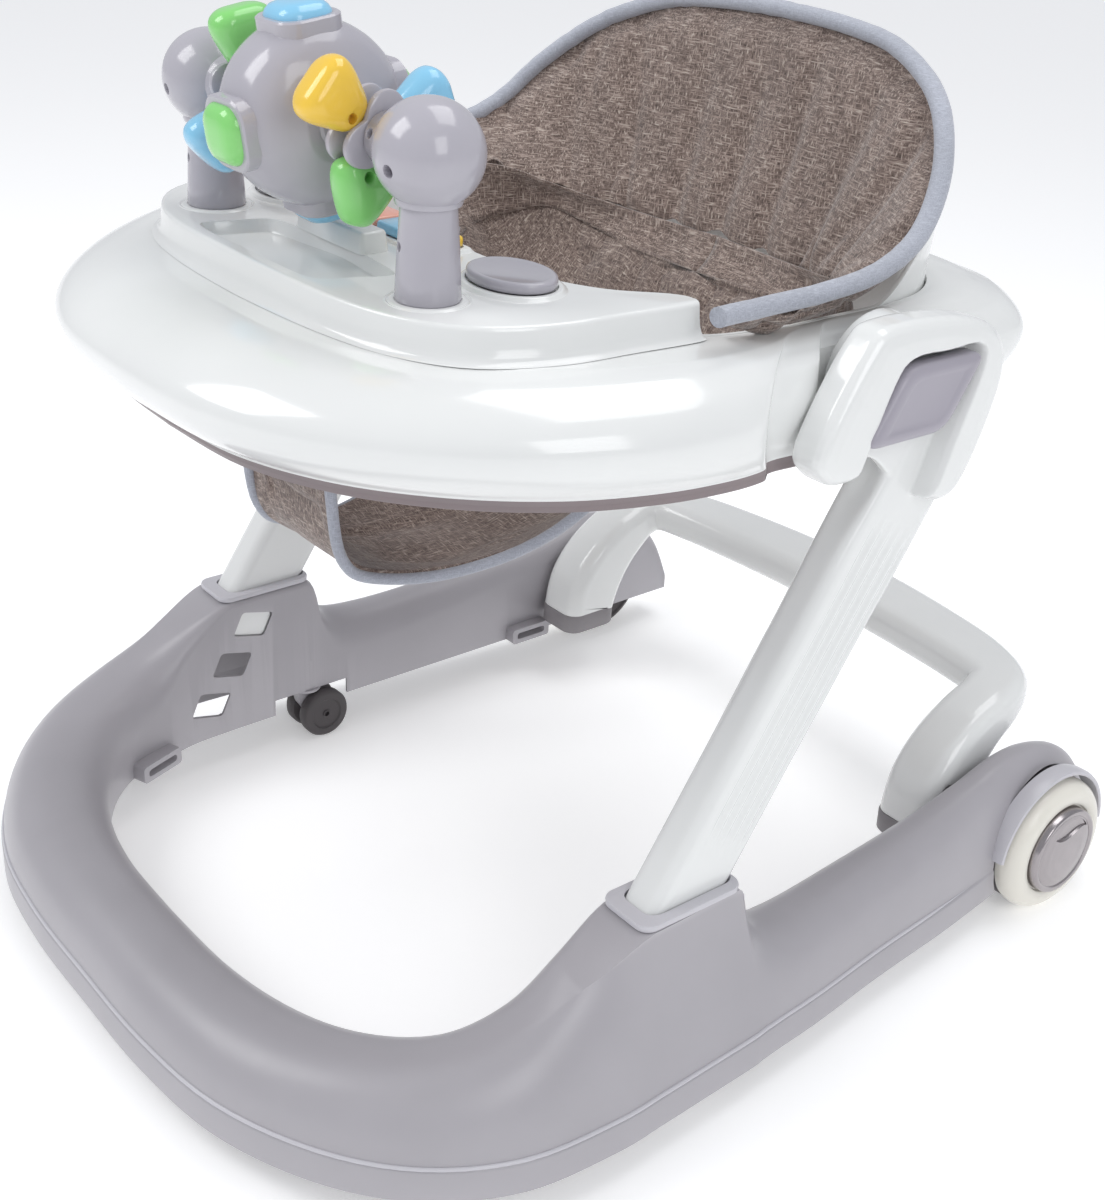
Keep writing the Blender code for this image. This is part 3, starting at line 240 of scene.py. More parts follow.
M = {"white": plastic("gloss_white_shell", (0.79, 0.8, 0.79), 0.14, 0.02, 900, 0.012, 0.35, 0.05),
    "base": plastic("base_satin", (0.4, 0.385, 0.41), 0.33, 0.12, 1800, 0.03, 0.0, 0.1),
    # The tray underside is its grey plastic set darker and warmer: painted shade for the shadow under the
    # tray.
    "pan": plastic("tray_underside_painted_shade", (0.215, 0.175, 0.18), 0.42, 0.12, 1500, 0.05),
    "toy": plastic("toy_grey_gloss", (0.43, 0.415, 0.46), 0.17, 0.02, 900, 0.03, 0.3),
    "button": plastic("button_satin", (0.36, 0.34, 0.39), 0.3, 0.08, 1600, 0.04),
    "dark": plastic("tyre_dark", (0.07, 0.062, 0.065), 0.5, 0.25, 1200, 0.15, 0, 0.02),
    "cream": plastic("rim_cream", (0.8, 0.775, 0.7), 0.25, 0.03, 1200, 0.02),
    "fender": plastic("fender_band", (0.56, 0.55, 0.585), 0.3, 0.05, 1200, 0.02),
    "silver": metal("cap_silver", (0.42, 0.39, 0.4), 0.22, 0.05),
    "steel": metal("axle_steel", (0.62, 0.61, 0.6), 0.3),
    "tip": plastic("tip_rubber", (0.24, 0.225, 0.235), 0.55, 0.2, 1400, 0.06),
    "linen": linen("seat_linen", ((0.36, (0.06, 0.04, 0.034)), (0.52, (0.185, 0.135, 0.115)),
    (0.62, (0.34, 0.265, 0.23)), (0.74, (0.56, 0.49, 0.43)))),
    "pan_linen": linen("seat_pan_linen", ((0.36, (0.055, 0.036, 0.031)), (0.52, (0.18, 0.13, 0.112)),
    (0.62, (0.3, 0.235, 0.2)), (0.74, (0.55, 0.47, 0.41))), flat=True),
    "tape": linen("binding_tape", ((0.3, (0.27, 0.28, 0.33)), (0.6, (0.42, 0.44, 0.5)),
    (0.8, (0.55, 0.58, 0.64))), 900, 0.35), "thread": linen("white_thread",
    ((0.3, (0.7, 0.68, 0.66)), (0.7, (0.9, 0.89, 0.87))), 1500, 0.5),
    "yellow": plastic("toy_yellow", (0.86, 0.56, 0.06), 0.16, 0.02, 900, 0.05, 0.3),
    "green": plastic("toy_green", (0.24, 0.66, 0.18), 0.16, 0.02, 900, 0.05, 0.3),
    "blue": plastic("toy_blue", (0.25, 0.57, 0.8), 0.16, 0.02, 900, 0.05, 0.3),
    "coral": plastic("key_coral", (0.88, 0.4, 0.3), 0.2, 0.02, 900, 0.05, 0.3),
    "hole": plastic("shadow_hole", (0.03, 0.028, 0.03), 0.6, 0.1, 900, 0.1),}


# ---- mesh helpers --------------------------------------------------------------------------------

def link(name, mesh, mat, smooth=38):
    mesh.shade_smooth()
    mesh.set_sharp_from_angle(angle=math.radians(smooth))
    mesh.materials.clear()
    mesh.materials.append(M[mat] if isinstance(mat, str) else mat)
    made = bpy.data.objects.new(name, mesh)
    bpy.context.scene.collection.objects.link(made)
    return made


def build(name, verts, faces, mat, smooth=38):
    mesh = bpy.data.meshes.new(name)
    mesh.from_pydata([tuple(v) for v in verts], [], faces)
    bm = bmesh.new()
    bm.from_mesh(mesh)
    bmesh.ops.remove_doubles(bm, verts=bm.verts, dist=1e-6)
    bmesh.ops.recalc_face_normals(bm, faces=bm.faces)
    bm.to_mesh(mesh)
    bm.free()
    return link(name, mesh, mat, smooth)


def loft(rings, closed=False):
    count = len(rings[0])
    verts = [point for ring in rings for point in ring]
    faces = []
    for i in range(len(rings) if closed else len(rings) - 1):
        a, b = i * count, (i + 1) % len(rings) * count
        for j in range(count):
            k = (j + 1) % count
            faces.append((a + j, a + k, b + k, b + j))
    if not closed:
        faces.append(tuple(range(count)))
        faces.append(tuple(range(len(verts) - count, len(verts))))
    return verts, faces


def smooth_rows(rows, samples, closed=False):
    """Catmull-Rom through rows of numbers."""
    out = []
    n = len(rows)
    for i in range(n if closed else n - 1):
        if closed:
            p = [rows[(i + k) % n] for k in (-1, 0, 1, 2)]
        else:
            p = [rows[max(i - 1, 0)], rows[i], rows[i + 1], rows[min(i + 2, n - 1)]]
        for step in range(samples):
            t = step / samples
            out.append(tuple(0.5 * (2 * b + (c - a) * t + (2 * a - 5 * b + 4 * c - d) * t * t
                + (3 * b - a - 3 * c + d) * t ** 3) for a, b, c, d in zip(*p)))
    if not closed:
        out.append(tuple(rows[-1]))
    return out


def bezier(p0, p1, p2, p3, steps):
    out = []
    for i in range(steps + 1):
        t = i / steps
        weights = ((1 - t) ** 3, 3 * t * (1 - t) ** 2, 3 * t * t * (1 - t), t ** 3)
        out.append(tuple(sum(w * p[k] for w, p in zip(weights, (p0, p1, p2, p3))) for k in range(2)))
    return out


def mix(a, b, t):
    return a + (b - a) * t


def ease(t):
    t = min(max(t, 0), 1)
    return t * t * (3 - 2 * t)


def rounded_rectangle(width, height, radius, steps=6):
    out = []
    for corner, (sx, sy) in enumerate(((1, 1), (-1, 1), (-1, -1), (1, -1))):
        cx, cy = sx * (width / 2 - radius), sy * (height / 2 - radius)
        for i in range(steps + 1):
            angle = math.radians(90 * (corner + i / steps))
            out.append((cx + radius * math.cos(angle), cy + radius * math.sin(angle)))
    return out


def turned(name, profile, centre, axis, mat, steps=64):
    """A turned solid: profile is (along axis, radius), closed on the axis or on itself."""
    along, side, up = {"X": (Vector((1, 0, 0)), Vector((0, 1, 0)), Vector((0, 0, 1))),
        "Y": (Vector((0, 1, 0)), Vector((0, 0, 1)), Vector((1, 0, 0))),
        "Z": (Vector((0, 0, 1)), Vector((1, 0, 0)), Vector((0, 1, 0)))}[axis]
    middle, count, verts, faces = Vector(centre), len(profile), [], []
    for i in range(steps):
        angle = 2 * math.pi * i / steps
        ray = side * math.cos(angle) + up * math.sin(angle)
        verts += [middle + along * a + ray * r for a, r in profile]
    on_axis = profile[0][1] == 0 and profile[-1][1] == 0
    for i in range(steps):
        j = (i + 1) % steps
        for k in range(count - 1 if on_axis else count):
            m = (k + 1) % count
            quad = [i * count + k, i * count + m, j * count + m, j * count + k]
            if profile[k][1] == 0:
                quad.pop(3)
            if profile[m][1] == 0:
                quad.pop(2)
            faces.append(tuple(quad))
    return build(name, verts, faces, mat)


def prism(name, outline, low, high, mat, plane="YZ"):
    place = {"YZ": lambda a, b, c: (c, a, b), "XZ": lambda a, b, c: (a, c, b), "XY": lambda a, b,
        c: (a, b, c)}[plane]
    return build(name, *loft([[place(a, b, level) for a, b in outline] for level in (low, high)]), mat)


def apply(obj, smooth=38):
    """Bakes an object's modifiers into its own mesh."""
    bpy.context.view_layer.update()
    graph = bpy.context.evaluated_depsgraph_get()
    mesh = bpy.data.meshes.new_from_object(obj.evaluated_get(graph))
    old = obj.data
    obj.modifiers.clear()
    obj.data = mesh
    bpy.data.meshes.remove(old)
    mesh.shade_smooth()
    mesh.set_sharp_from_angle(angle=math.radians(smooth))
    return obj


def cut(obj, cutter, operation="DIFFERENCE", solver="EXACT", keep=False):
    modifier = obj.modifiers.new("cut", "BOOLEAN")
    modifier.object = cutter
    modifier.operation = operation
    modifier.solver = solver
    apply(obj)
    if not keep:
        bpy.data.objects.remove(cutter, do_unlink=True)
    return obj


def melt(obj, voxel, rounds=4, factor=0.5):
    """Voxel remesh and smoothing, which rounds a union's seams as moulding does."""
    modifier = obj.modifiers.new("remesh", "REMESH")
    modifier.mode = "VOXEL"
    modifier.voxel_size = voxel
    modifier.use_smooth_shade = True
    if rounds:
        soft = obj.modifiers.new("soft", "SMOOTH")
        soft.iterations, soft.factor = rounds, factor
    return apply(obj, 180)


def sharpen(obj, angle):
    """Smooth shading that stays crisp past the angle, in degrees."""
    obj.data.shade_smooth()
    obj.data.set_sharp_from_angle(angle=math.radians(angle))
    return obj


def put(obj, body, slot, *nodes):
    """The piece rides on a body and stands for these CAD nodes, which it hides. The slot argument is not used.
    """
    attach(obj, body)
    if nodes:
        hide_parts(*nodes)
    return obj


def tube(name, points, radius, mat, sides=12, closed=False):
    """A round tube along points, with its section carried along without twisting."""
    points = [Vector(p) for p in points]
    rings, up = [], None
    count = len(points)
    for i, point in enumerate(points):
        ahead = points[(i + 1) % count] if closed or i < count - 1 else points[i]
        behind = points[i - 1] if closed or i > 0 else points[i]
        along = (ahead - behind).normalized()
        if up is None:
            up = along.orthogonal().normalized()
        up = (up - along * up.dot(along)).normalized()
        side = along.cross(up)
        r = radius(i / (count - 1)) if callable(radius) else radius
        rings.append([point + up * r * math.cos(a) + side * r * math.sin(a)
            for a in (2 * math.pi * k / sides for k in range(sides))])
    return build(name, *loft(rings, closed), mat, 60)


# ---- base ----------------------------------------------------------------------------------------

SKIRT_Z, INNER_SKIRT_Z, CREASE_HEIGHT, BASE_WALL = 0.022, 0.03, 0.0235, 0.003
ARM_ROOT_Y, ARM_ROOT_Z = -0.0825, 0.1425
LEAN = math.radians(33.5)
ARM_AXIS = Vector((0, math.sin(LEAN), math.cos(LEAN)))
ARM_FRONT = Vector((0, -math.cos(LEAN), math.sin(LEAN)))
ARM_IN_X, ARM_OUT_X, ARM_DEPTH_LOW = 0.2335, 0.2615, 0.055
WHEEL_Y, WHEEL_Z = 0.269, 0.051
CASTERS = (("front", 0.12, -0.3025), ("middle", 0.236, -0.0475))
# outer x, outer y, inner x, inner y, top z, neck, skirt band
BASE_STATIONS = ((0.0, -0.348, 0.0, -0.283, 0.081, 0.0, 1.0), (0.075, -0.347, 0.07, -0.28, 0.081, 0.0, 1.0),
    (0.149, -0.337, 0.132, -0.267, 0.082, 0.0, 1.0), (0.214, -0.309, 0.176, -0.246, 0.085, 0.0, 1.0),
    (0.26, -0.27, 0.205, -0.217, 0.091, 0.0, 1.0), (0.288, -0.219, 0.217, -0.183, 0.103, 0.15, 1.0),
    (0.2955, -0.16, 0.2245, -0.154, 0.124, 0.6, 1.0), (0.2945, -0.122, 0.2262, -0.12, 0.1415, 1.0, 1.0),
    (0.293, -0.09, 0.2266, -0.09, 0.1425, 1.0, 1.0), (0.291, -0.048, 0.2266, -0.048, 0.1425, 1.0, 1.0),
    (0.2895, -0.035, 0.2266, -0.035, 0.114, 0.5, 1.0), (0.288, -0.018, 0.2266, -0.018, 0.099, 0.1, 1.0),
    (0.285, 0.02, 0.2266, 0.02, 0.094, 0.0, 1.0), (0.278, 0.08, 0.2266, 0.08, 0.097, 0.0, 1.0),
    (0.272, 0.15, 0.2266, 0.15, 0.103, 0.0, 1.0), (0.267, 0.2, 0.2266, 0.2, 0.111, 0.0, 0.6),
    (0.264, 0.235, 0.2266, 0.235, 0.119, 0.0, 0.0), (0.263, 0.265, 0.2266, 0.265, 0.1195, 0.0, 0.0),
    (0.261, 0.3, 0.2266, 0.3, 0.108, 0.0, 0.0), (0.258, 0.325, 0.2266, 0.325, 0.085, 0.0, 0.0),
    (0.255, 0.34, 0.2266, 0.34, 0.052, 0.0, 0.0))


def base_profile(width, top, neck, skirt, inset):
    crease = SKIRT_Z + min(CREASE_HEIGHT, 0.4 * (top - SKIRT_Z))
    rise = top - crease
    shoulder = mix(0.52, 0.36, neck) * width
    step = 0.002 * skirt * (1 if inset == 0 else 0)
    points = [(0.0015 * (inset == 0) - step, SKIRT_Z), (-step, SKIRT_Z + 0.0015), (-step, crease - 0.0022),
        (-step * 0.85, crease - 0.0012), (-step * 0.4, crease - 0.0004), (0.0, crease + 0.0001)]
    points += bezier((0.0002, crease + 0.0008), (mix(0.0, 0.16, neck) * width,
        crease + mix(0.62, 0.45, neck) * rise), (mix(0.25, 0.33, neck) * width,
        top - mix(0.0, 0.25, neck) * rise), (shoulder, top), 18)
    radius = min(mix(0.03, 0.005, neck), 0.8 * (top - SKIRT_Z), 0.9 * (width - shoulder))
    for i in range(10):
        angle = math.radians(90 - 90 * i / 9)
        points.append((width - radius + radius * math.cos(angle), top - radius + radius * math.sin(angle)))
    points.append((width, INNER_SKIRT_Z))
    if inset == 0:
        return points
    middle = width / 2
    low = INNER_SKIRT_Z
    return [(mix(a, middle, inset / middle), z if z <= low else low + (z - low) * (top - low - inset)
        / (top - low)) for a, z in points]


def base_ring(row, side):
    ox, oy, ix, iy, top, neck, skirt = row
    outer, inner = Vector((side * ox, oy, 0)), Vector((side * ix, iy, 0))
    width, across = (inner - outer).length, (inner - outer).normalized()
    neck, skirt, top = min(max(neck, 0), 1), min(max(skirt, 0), 1), min(top, ARM_ROOT_Z)
    profile = base_profile(width, top, neck, skirt, 0)
    profile += reversed(base_profile(width, top, neck, skirt, BASE_WALL))
    return [outer + across * a + Vector((0, 0, z)) for a, z in profile]


def arm_point(distance, forward=0.0):
    point = Vector((0, ARM_ROOT_Y, ARM_ROOT_Z)) + ARM_AXIS * distance + ARM_FRONT * forward
    return point.y, point.z


def arm_slab(name, start, end, grow, side, depth=ARM_DEPTH_LOW):
    rings = []
    for d in (start, end):
        y, z = arm_point(d)
        middle = Vector((side * (ARM_IN_X + ARM_OUT_X) / 2, y, z))
        rings.append([middle + Vector((a, 0, 0)) + ARM_FRONT * b
            for a, b in rounded_rectangle(ARM_OUT_X - ARM_IN_X + 2 * grow, depth + 2 * grow, 0.007 + grow)])
    return build(name, *loft(rings), "base")


def parallelogram(y, z, halves, grow=0.0, corner=0.0035, steps=6):
    (ay, az), (by, bz) = halves
    la, lb = math.hypot(ay, az), math.hypot(by, bz)
    ay, az = ay * (la + grow) / la, az * (la + grow) / la
    by, bz = by * (lb + grow) / lb, bz * (lb + grow) / lb
    corners = [Vector((y + s * ay + t * by, z + s * az + t * bz))
        for s, t in ((1, 1), (-1, 1), (-1, -1), (1, -1))]
    out = []
    for i in range(4):
        here, before, after = corners[i], corners[i - 1], corners[(i + 1) % 4]
        start = here + (before - here).normalized() * corner
        end = here + (after - here).normalized() * corner
        for k in range(steps + 1):
            t = k / steps
            point = start * (1 - t) ** 2 + here * 2 * t * (1 - t) + end * t * t
            out.append((point.x, point.y))
    return out


WINDOW_HALF = ((0.0135, -0.0035), (0.0045, 0.0093))
WINDOW_TOP = (-0.0985, 0.119)
HEIGHT_STEP = 0.036


# x and radius round the wheel
LIP_SECTION = ((0.26, 0.0547), (0.26, 0.0575), (0.264, 0.0587), (0.271, 0.0587), (0.2735, 0.0578),
    (0.2742, 0.0562), (0.2735, 0.0549), (0.2715, 0.0547))
ARCH_RADIUS, CASTER_CLEARANCE, CASTER_SEAT_Z = 0.0545, 0.035, 0.0438
CREASE_END_Y = 0.196


def make_base():
    half = smooth_rows(BASE_STATIONS, 7)
    rings = [base_ring(row, -1) for row in reversed(half[1:])] + [base_ring(row, 1) for row in half]
    base = build("base_body", *loft(rings), "base")
    skin = len(rings[0]) // 2
    for side, label in SIDES:
        end = rings[-1] if side > 0 else rings[0]
        wall = [[p + Vector((0, shift, 0)) for p in end[:skin]] for shift in (-BASE_WALL, 0)]
        cut(base, build("wall", *loft(wall), "base"), "UNION", "MANIFOLD")
        cut(base, turned("arch", [(side * 0.2345, 0), (side * 0.2345, ARCH_RADIUS),
            (side * 0.31, ARCH_RADIUS), (side * 0.31, 0)], (0, WHEEL_Y, WHEEL_Z), "X", "base", 96),
            solver="MANIFOLD")
        cut(base, arm_slab("slot", -0.032, 0.09, 0.0006, side), solver="MANIFOLD")
        relief = [arm_point(-0.105, 0.017), arm_point(-0.105, -0.017), arm_point(-0.012, -0.017),
            arm_point(-0.012, 0.017)]
        cut(base, prism("relief", relief, side * 0.2281, side * 0.2326, "base"), solver="MANIFOLD")
        for k in range(3):
            y = WINDOW_TOP[0] - k * HEIGHT_STEP * ARM_AXIS.y
            z = WINDOW_TOP[1] - k * HEIGHT_STEP * ARM_AXIS.z
            cut(base, prism("window", parallelogram(y, z, WINDOW_HALF), side * 0.205, side * 0.2324,
                "base"), solver="MANIFOLD")
        for _, x, y in CASTERS:
            top = 0.0795 if y < -0.2 else 0.07
            cut(base, turned("notch", [(0, 0), (0, CASTER_CLEARANCE), (CASTER_SEAT_Z, CASTER_CLEARANCE),
                (CASTER_SEAT_Z, 0)], (side * x, y, 0), "Z", "base"), solver="MANIFOLD")
            cut(base, turned("boss", [(0.0445, 0.0053), (0.0445, 0.0095), (top, 0.0095), (top, 0),
                (0.0635, 0), (0.0635, 0.0053)], (side * x, y, 0), "Z", "base", 32), "UNION", "MANIFOLD")
        for y in (-0.196, 0.172):
            x = 0.212 if y < 0 else 0.2266
            turn = Matrix.Rotation(side * math.radians(-20 if y < 0 else 0), 4, "Z")
            for kind, width, low, high, z0, z1 in (("UNION", 0.04, -0.01, 0.0022, 0.0285, 0.0425),
                    ("DIFFERENCE", 0.03, -0.02, 0.01, 0.0325, 0.0385)):
                block = rounded_rectangle(width, z1 - z0, 0.0028)
                tab = [[turn @ Vector((side * depth, a, b)) + Vector((side * x, y, (z0 + z1) / 2))
                    for a, b in block] for depth in (low, high)]
                cut(base, build("tab", *loft(tab), "base"), kind, "MANIFOLD")
    sharpen(base, 32)
    put(base, "base", "satin_grey", "base_shell")
    # A thin tube of the lighter fender grey along the top of the skirt step: a painted highlight for the shine
    # along that ledge.
    rows = [row for row in smooth_rows(BASE_STATIONS, 5) if row[1] < CREASE_END_Y]
    line = [(-row[0], row[1]) for row in reversed(rows[1:])] + [(row[0], row[1]) for row in rows]
    highlight_path = [(x, y, SKIRT_Z + CREASE_HEIGHT + 0.0002) for x, y in line]
    put(tube("painted_crease_highlight", highlight_path, lambda t: 0.00145 * ease(min(t, 1 - t) * 22), "fender", 12), "base",
        "satin_grey")
    for side, label in SIDES:
        arc = []
        for i in range(73):
            angle = math.radians(mix(5, 178, i / 72))
            ray = Vector((0, -math.cos(angle), math.sin(angle)))
            arc.append([Vector((side * x, WHEEL_Y, WHEEL_Z)) + ray * r for x, r in LIP_SECTION])
        put(build(f"fender_lip_{label}", *loft(arc), "fender"), "base", "satin_grey")


def mirrored(obj, name):
    """A copy of the piece on the other side of X = 0."""
    made = bpy.data.objects.new(name, obj.data.copy())
    made.data.transform(Matrix.Diagonal((-1, 1, 1, 1)))
    made.data.flip_normals()
    bpy.context.scene.collection.objects.link(made)
    return made


def both(obj, name, bodies, slot, nodes):
    """The left piece and its mirror, each on its own body and standing for its own CAD node."""
    other = mirrored(obj, f"{name}_right")
    obj.name = f"{name}_left"
    for made, label in ((obj, "left"), (other, "right")):
        put(made, bodies.format(label), slot, *[n.format(label) for n in nodes])


# ---- arms ----------------------------------------------------------------------------------------

HEAD_IN_X, HEAD_OUT_X = 0.2508, 0.2765
HEAD_OUTLINE = ((-0.026, 0.42), (-0.02, 0.401), (-0.002, 0.396), (0.03, 0.401), (0.064, 0.372),
    (0.096, 0.372), (0.122, 0.43), (0.116, 0.462), (0.086, 0.477), (0.026, 0.482), (0.004, 0.471))
PIVOT_Y, PIVOT_Z = 0.05, 0.44
BUTTON_Y, BUTTON_Z = 0.052, 0.436
BUTTON_HALF = ((0.0335, -0.0005), (0.0145, 0.022))


# distances along the arm from its root, and the flutes on its outer face
ARM_START, ARM_END, SEAM_AT, FLUTES = -0.047, 0.315, 0.1542, 5


def arm_depth(d):
    """Depth of the arm, front to back, at a distance from its root."""
    return mix(mix(0.055, 0.057, ease((d - 0.086) / 0.074)), 0.0605, ease((d - 0.16) / 0.085))


def arm_rings():
    """Sections of the arm with flutes along the outer face, a thumb scoop and a faint mould seam."""
    low, high, corner = ARM_IN_X, ARM_OUT_X, 0.0085
    levels = [mix(ARM_START, ARM_END, i / 90) for i in range(91)]
    levels += [SEAM_AT - 0.0007, SEAM_AT, SEAM_AT + 0.0007]
    rings = []
    for d in sorted(levels):
        depth = arm_depth(d)
        y, z = arm_point(d)
        middle = Vector(((low + high) / 2, y, z))
        outline = []
        for corner_index, (sx, sy) in enumerate(((1, 1), (-1, 1), (-1, -1), (1, -1))):
            cx = sx * ((high - low) / 2 - corner)
            cy = sy * (depth / 2 - corner)
            for i in range(7):
                angle = math.radians(90 * (corner_index + i / 6))
                outline.append((cx + corner * math.cos(angle), cy + corner * math.sin(angle)))
            if corner_index == 0:
                outline += [(mix(cx, -cx, i / 8), depth / 2) for i in range(1, 8)]
        face = [((high - low) / 2, mix(-depth / 2 + corner, depth / 2 - corner, i / 64))
            for i in range(1, 64)]
        ring = []
        on = ease((d - 0.03) / 0.03) * ease((0.262 - d) / 0.03)
        scoop = math.exp(-((d - 0.268) / 0.03) ** 2)
        seam = 0.0003 * (d == SEAM_AT)
        for a, b in outline + face:
            if a > (high - low) / 2 - 1e-6 and on > 0:
                t = (b + depth / 2 - 0.0045) / (depth * 0.72)
                if 0 < t < 1:
                    a -= 0.0018 * on * (0.5 - 0.5 * math.cos(2 * math.pi * FLUTES * t))
            if b > 0:
                b -= 0.0045 * scoop * max(0, 1 - (a / 0.0125) ** 2) * (b / (depth / 2)) ** 3
            keep = 1 - seam / 0.014
            ring.append(middle + Vector((a * keep, 0, 0)) + ARM_FRONT * b * keep)
        rings.append(ring)
    return rings


def grown(outline, amount):
    """A closed outline moved outward or inward by its normals; past 3 mm inward it shrinks evenly."""
    if amount < -0.003:
        inner = grown(outline, -0.003)
        cx, cy = (sum(p[k] for p in inner) / len(inner) for k in (0, 1))
        reach = min(math.hypot(a - cx, b - cy) for a, b in inner)
        scale = 1 - min((-amount - 0.003) / reach, 0.9)
        return [(cx + (a - cx) * scale, cy + (b - cy) * scale) for a, b in inner]
    out, n = [], len(outline)
    area = sum(outline[i][0] * outline[(i + 1) % n][1] - outline[(i + 1) % n][0] * outline[i][1]
        for i in range(n))
    sign = 1 if area > 0 else -1
    for i in range(n):
        ax, ay = outline[i - 1]
        bx, by = outline[(i + 1) % n]
        normal = Vector((by - ay, ax - bx)).normalized() * sign
        out.append((outline[i][0] + normal.x * amount, outline[i][1] + normal.y * amount))
    return out


def eased_corners(corners, stops):
    """A closed outline with its corners rounded, through the stops along each side."""
    points = []
    for here, after in zip(corners, corners[1:] + corners[:1]):
        points += [(mix(here[0], after[0], t), mix(here[1], after[1], t)) for t in stops]
    return smooth_rows(points, 4, closed=True)


def dome(name, outline, levels, mat, plane="YZ", smooth=60):
    """A loft of one outline through (level, growth) pairs."""
    place = {"YZ": lambda a, b, c: (c, a, b), "XY": lambda a, b, c: (a, b, c)}[plane]
    rings = [[place(a, b, level) for a, b in grown(outline, grow)] for level, grow in levels]
    return build(name, *loft(rings), mat, smooth)


def join(name, objs, mat):
    """One object holding all the meshes."""
    bm = bmesh.new()
    for obj in objs:
        bm.from_mesh(obj.data)
    mesh = bpy.data.meshes.new(name)
    bm.to_mesh(mesh)
    bm.free()
    for obj in objs:
        bpy.data.objects.remove(obj, do_unlink=True)
    return link(name, mesh, mat, 180)


def make_arms():
    arm = build("arm", *loft(arm_rings()), "white", 60)
    outline = smooth_rows(HEAD_OUTLINE, 6, closed=True)
    head = dome("head", outline, ((HEAD_IN_X, -0.003), (HEAD_IN_X + 0.002, -0.0008), (HEAD_IN_X + 0.005, 0),
        (HEAD_OUT_X - 0.008, 0), (HEAD_OUT_X - 0.0045, -0.0012), (HEAD_OUT_X - 0.0018, -0.0035),
        (HEAD_OUT_X - 0.0004, -0.0065), (HEAD_OUT_X, -0.0095)), "white")
    (ay, az), (by, bz) = BUTTON_HALF
    left_top, right_top = (BUTTON_Y - ay + by, BUTTON_Z - az + bz), (BUTTON_Y + ay + by, BUTTON_Z + az + bz)
    recess = [left_top, right_top, (right_top[0] - 0.0435, right_top[1] - 0.11),
        (left_top[0] - 0.046, left_top[1] - 0.11)]
    recess = eased_corners(recess, (0.1, 0.5, 0.9))
    cut(head, dome("recess", recess, ((ARM_OUT_X - 0.0005, 0.001), (ARM_OUT_X + 0.004, 0.0016),
        (HEAD_OUT_X - 0.004, 0.003), (HEAD_OUT_X + 0.01, 0.0095)), "white"))
    disc = turned("disc", [(ARM_IN_X, 0), (ARM_IN_X, 0.0365), (ARM_IN_X + 0.0015, 0.038),
        (HEAD_IN_X + 0.003, 0.038), (HEAD_IN_X + 0.003, 0)], (0, PIVOT_Y, PIVOT_Z), "X", "white")
    whole = join("arm_whole", [arm, head, disc], "white")
    melt(whole, 0.00105, 2, 0.5)
    cut(whole, turned("bore", [(ARM_IN_X - 0.01, 0), (ARM_IN_X - 0.01, 0.0095), (ARM_IN_X + 0.012, 0.0095),
        (ARM_IN_X + 0.012, 0)], (0, PIVOT_Y, PIVOT_Z), "X", "white", 32))
    cut(whole, prism("well", parallelogram(*WINDOW_TOP, WINDOW_HALF, 0.0002), ARM_IN_X - 0.01,
        ARM_IN_X + 0.012, "white"))
    whole.data.shade_smooth()
    whole.data.set_sharp_from_angle(angle=math.radians(50))
    both(whole, "arm_body", "arms", "gloss_white", ("arm_{}",))
    shape = parallelogram(BUTTON_Y, BUTTON_Z, BUTTON_HALF, -0.0004, 0.012, 10)
    button = dome("button", shape, ((0.2657, -0.001), (0.2665, 0), (0.275, 0), (0.2768, -0.0006),
        (0.2781, -0.002), (0.2788, -0.0042), (0.279, -0.0062), (0.2786, -0.0078), (0.2782, -0.009)),
        "button")
    both(button, "fold_key", "fold_button_{}", "button_grey", ("fold_button_{}",))
    outer = [((0.2275 + 0.269) / 2 + a, -0.0845 + b) for a, b in rounded_rectangle(0.0415, 0.078, 0.009)]
    collar = dome("collar", outer, ((ARM_ROOT_Z + 0.0003, 0), (ARM_ROOT_Z + 0.003, 0.0004),
        (ARM_ROOT_Z + 0.004, 0.0), (ARM_ROOT_Z + 0.0043, -0.0012)), "fender", "XY", 50)
    cut(collar, arm_slab("collar_slot", -0.03, 0.04, 0.0007, 1))
    both(collar, "guide_collar", "base", "satin_grey", ("arm_collar_{}",))


# ---- tray ----------------------------------------------------------------------------------------

TRAY_STATIONS = ((0.0, -0.3, 0.0, -0.09, 1.0), (0.078, -0.295, 0.045, -0.092, 1.0),
    (0.142, -0.271, 0.095, -0.092, 1.0), (0.193, -0.232, 0.14, -0.086, 1.0),
    (0.231, -0.184, 0.175, -0.066, 1.0), (0.254, -0.133, 0.195, -0.038, 1.0),
    (0.2625, -0.09, 0.202, -0.01, 0.9), (0.261, -0.058, 0.205, 0.008, 0.7),
    (0.249, -0.044, 0.206, 0.018, 0.4), (0.2485, -0.008, 0.206, 0.034, 0.3),
    (0.2325, 0.004, 0.206, 0.046, 0.2), (0.2325, 0.055, 0.206, 0.066, 0.2),
    (0.2325, 0.12, 0.205, 0.09, 0.3), (0.232, 0.172, 0.196, 0.133, 0.5), (0.222, 0.208, 0.167, 0.169, 0.7),
    (0.185, 0.229, 0.117, 0.188, 0.7), (0.1, 0.237, 0.055, 0.196, 0.7), (0.0, 0.239, 0.0, 0.198, 0.7))
DECK_Z, TRAY_LOW_Z, PAN_Z, PANEL_TOP = 0.466, 0.405, 0.3965, 0.486
DISC_Y, KEYS_Y = -0.117, -0.112
KEYS = (("coral", -0.026), ("blue", 0.004), ("yellow", 0.034))


def tray_rows(samples):
    half = smooth_rows(TRAY_STATIONS, samples)
    return [(1, row) for row in half] + [(-1, row) for row in reversed(half[1:-1])]


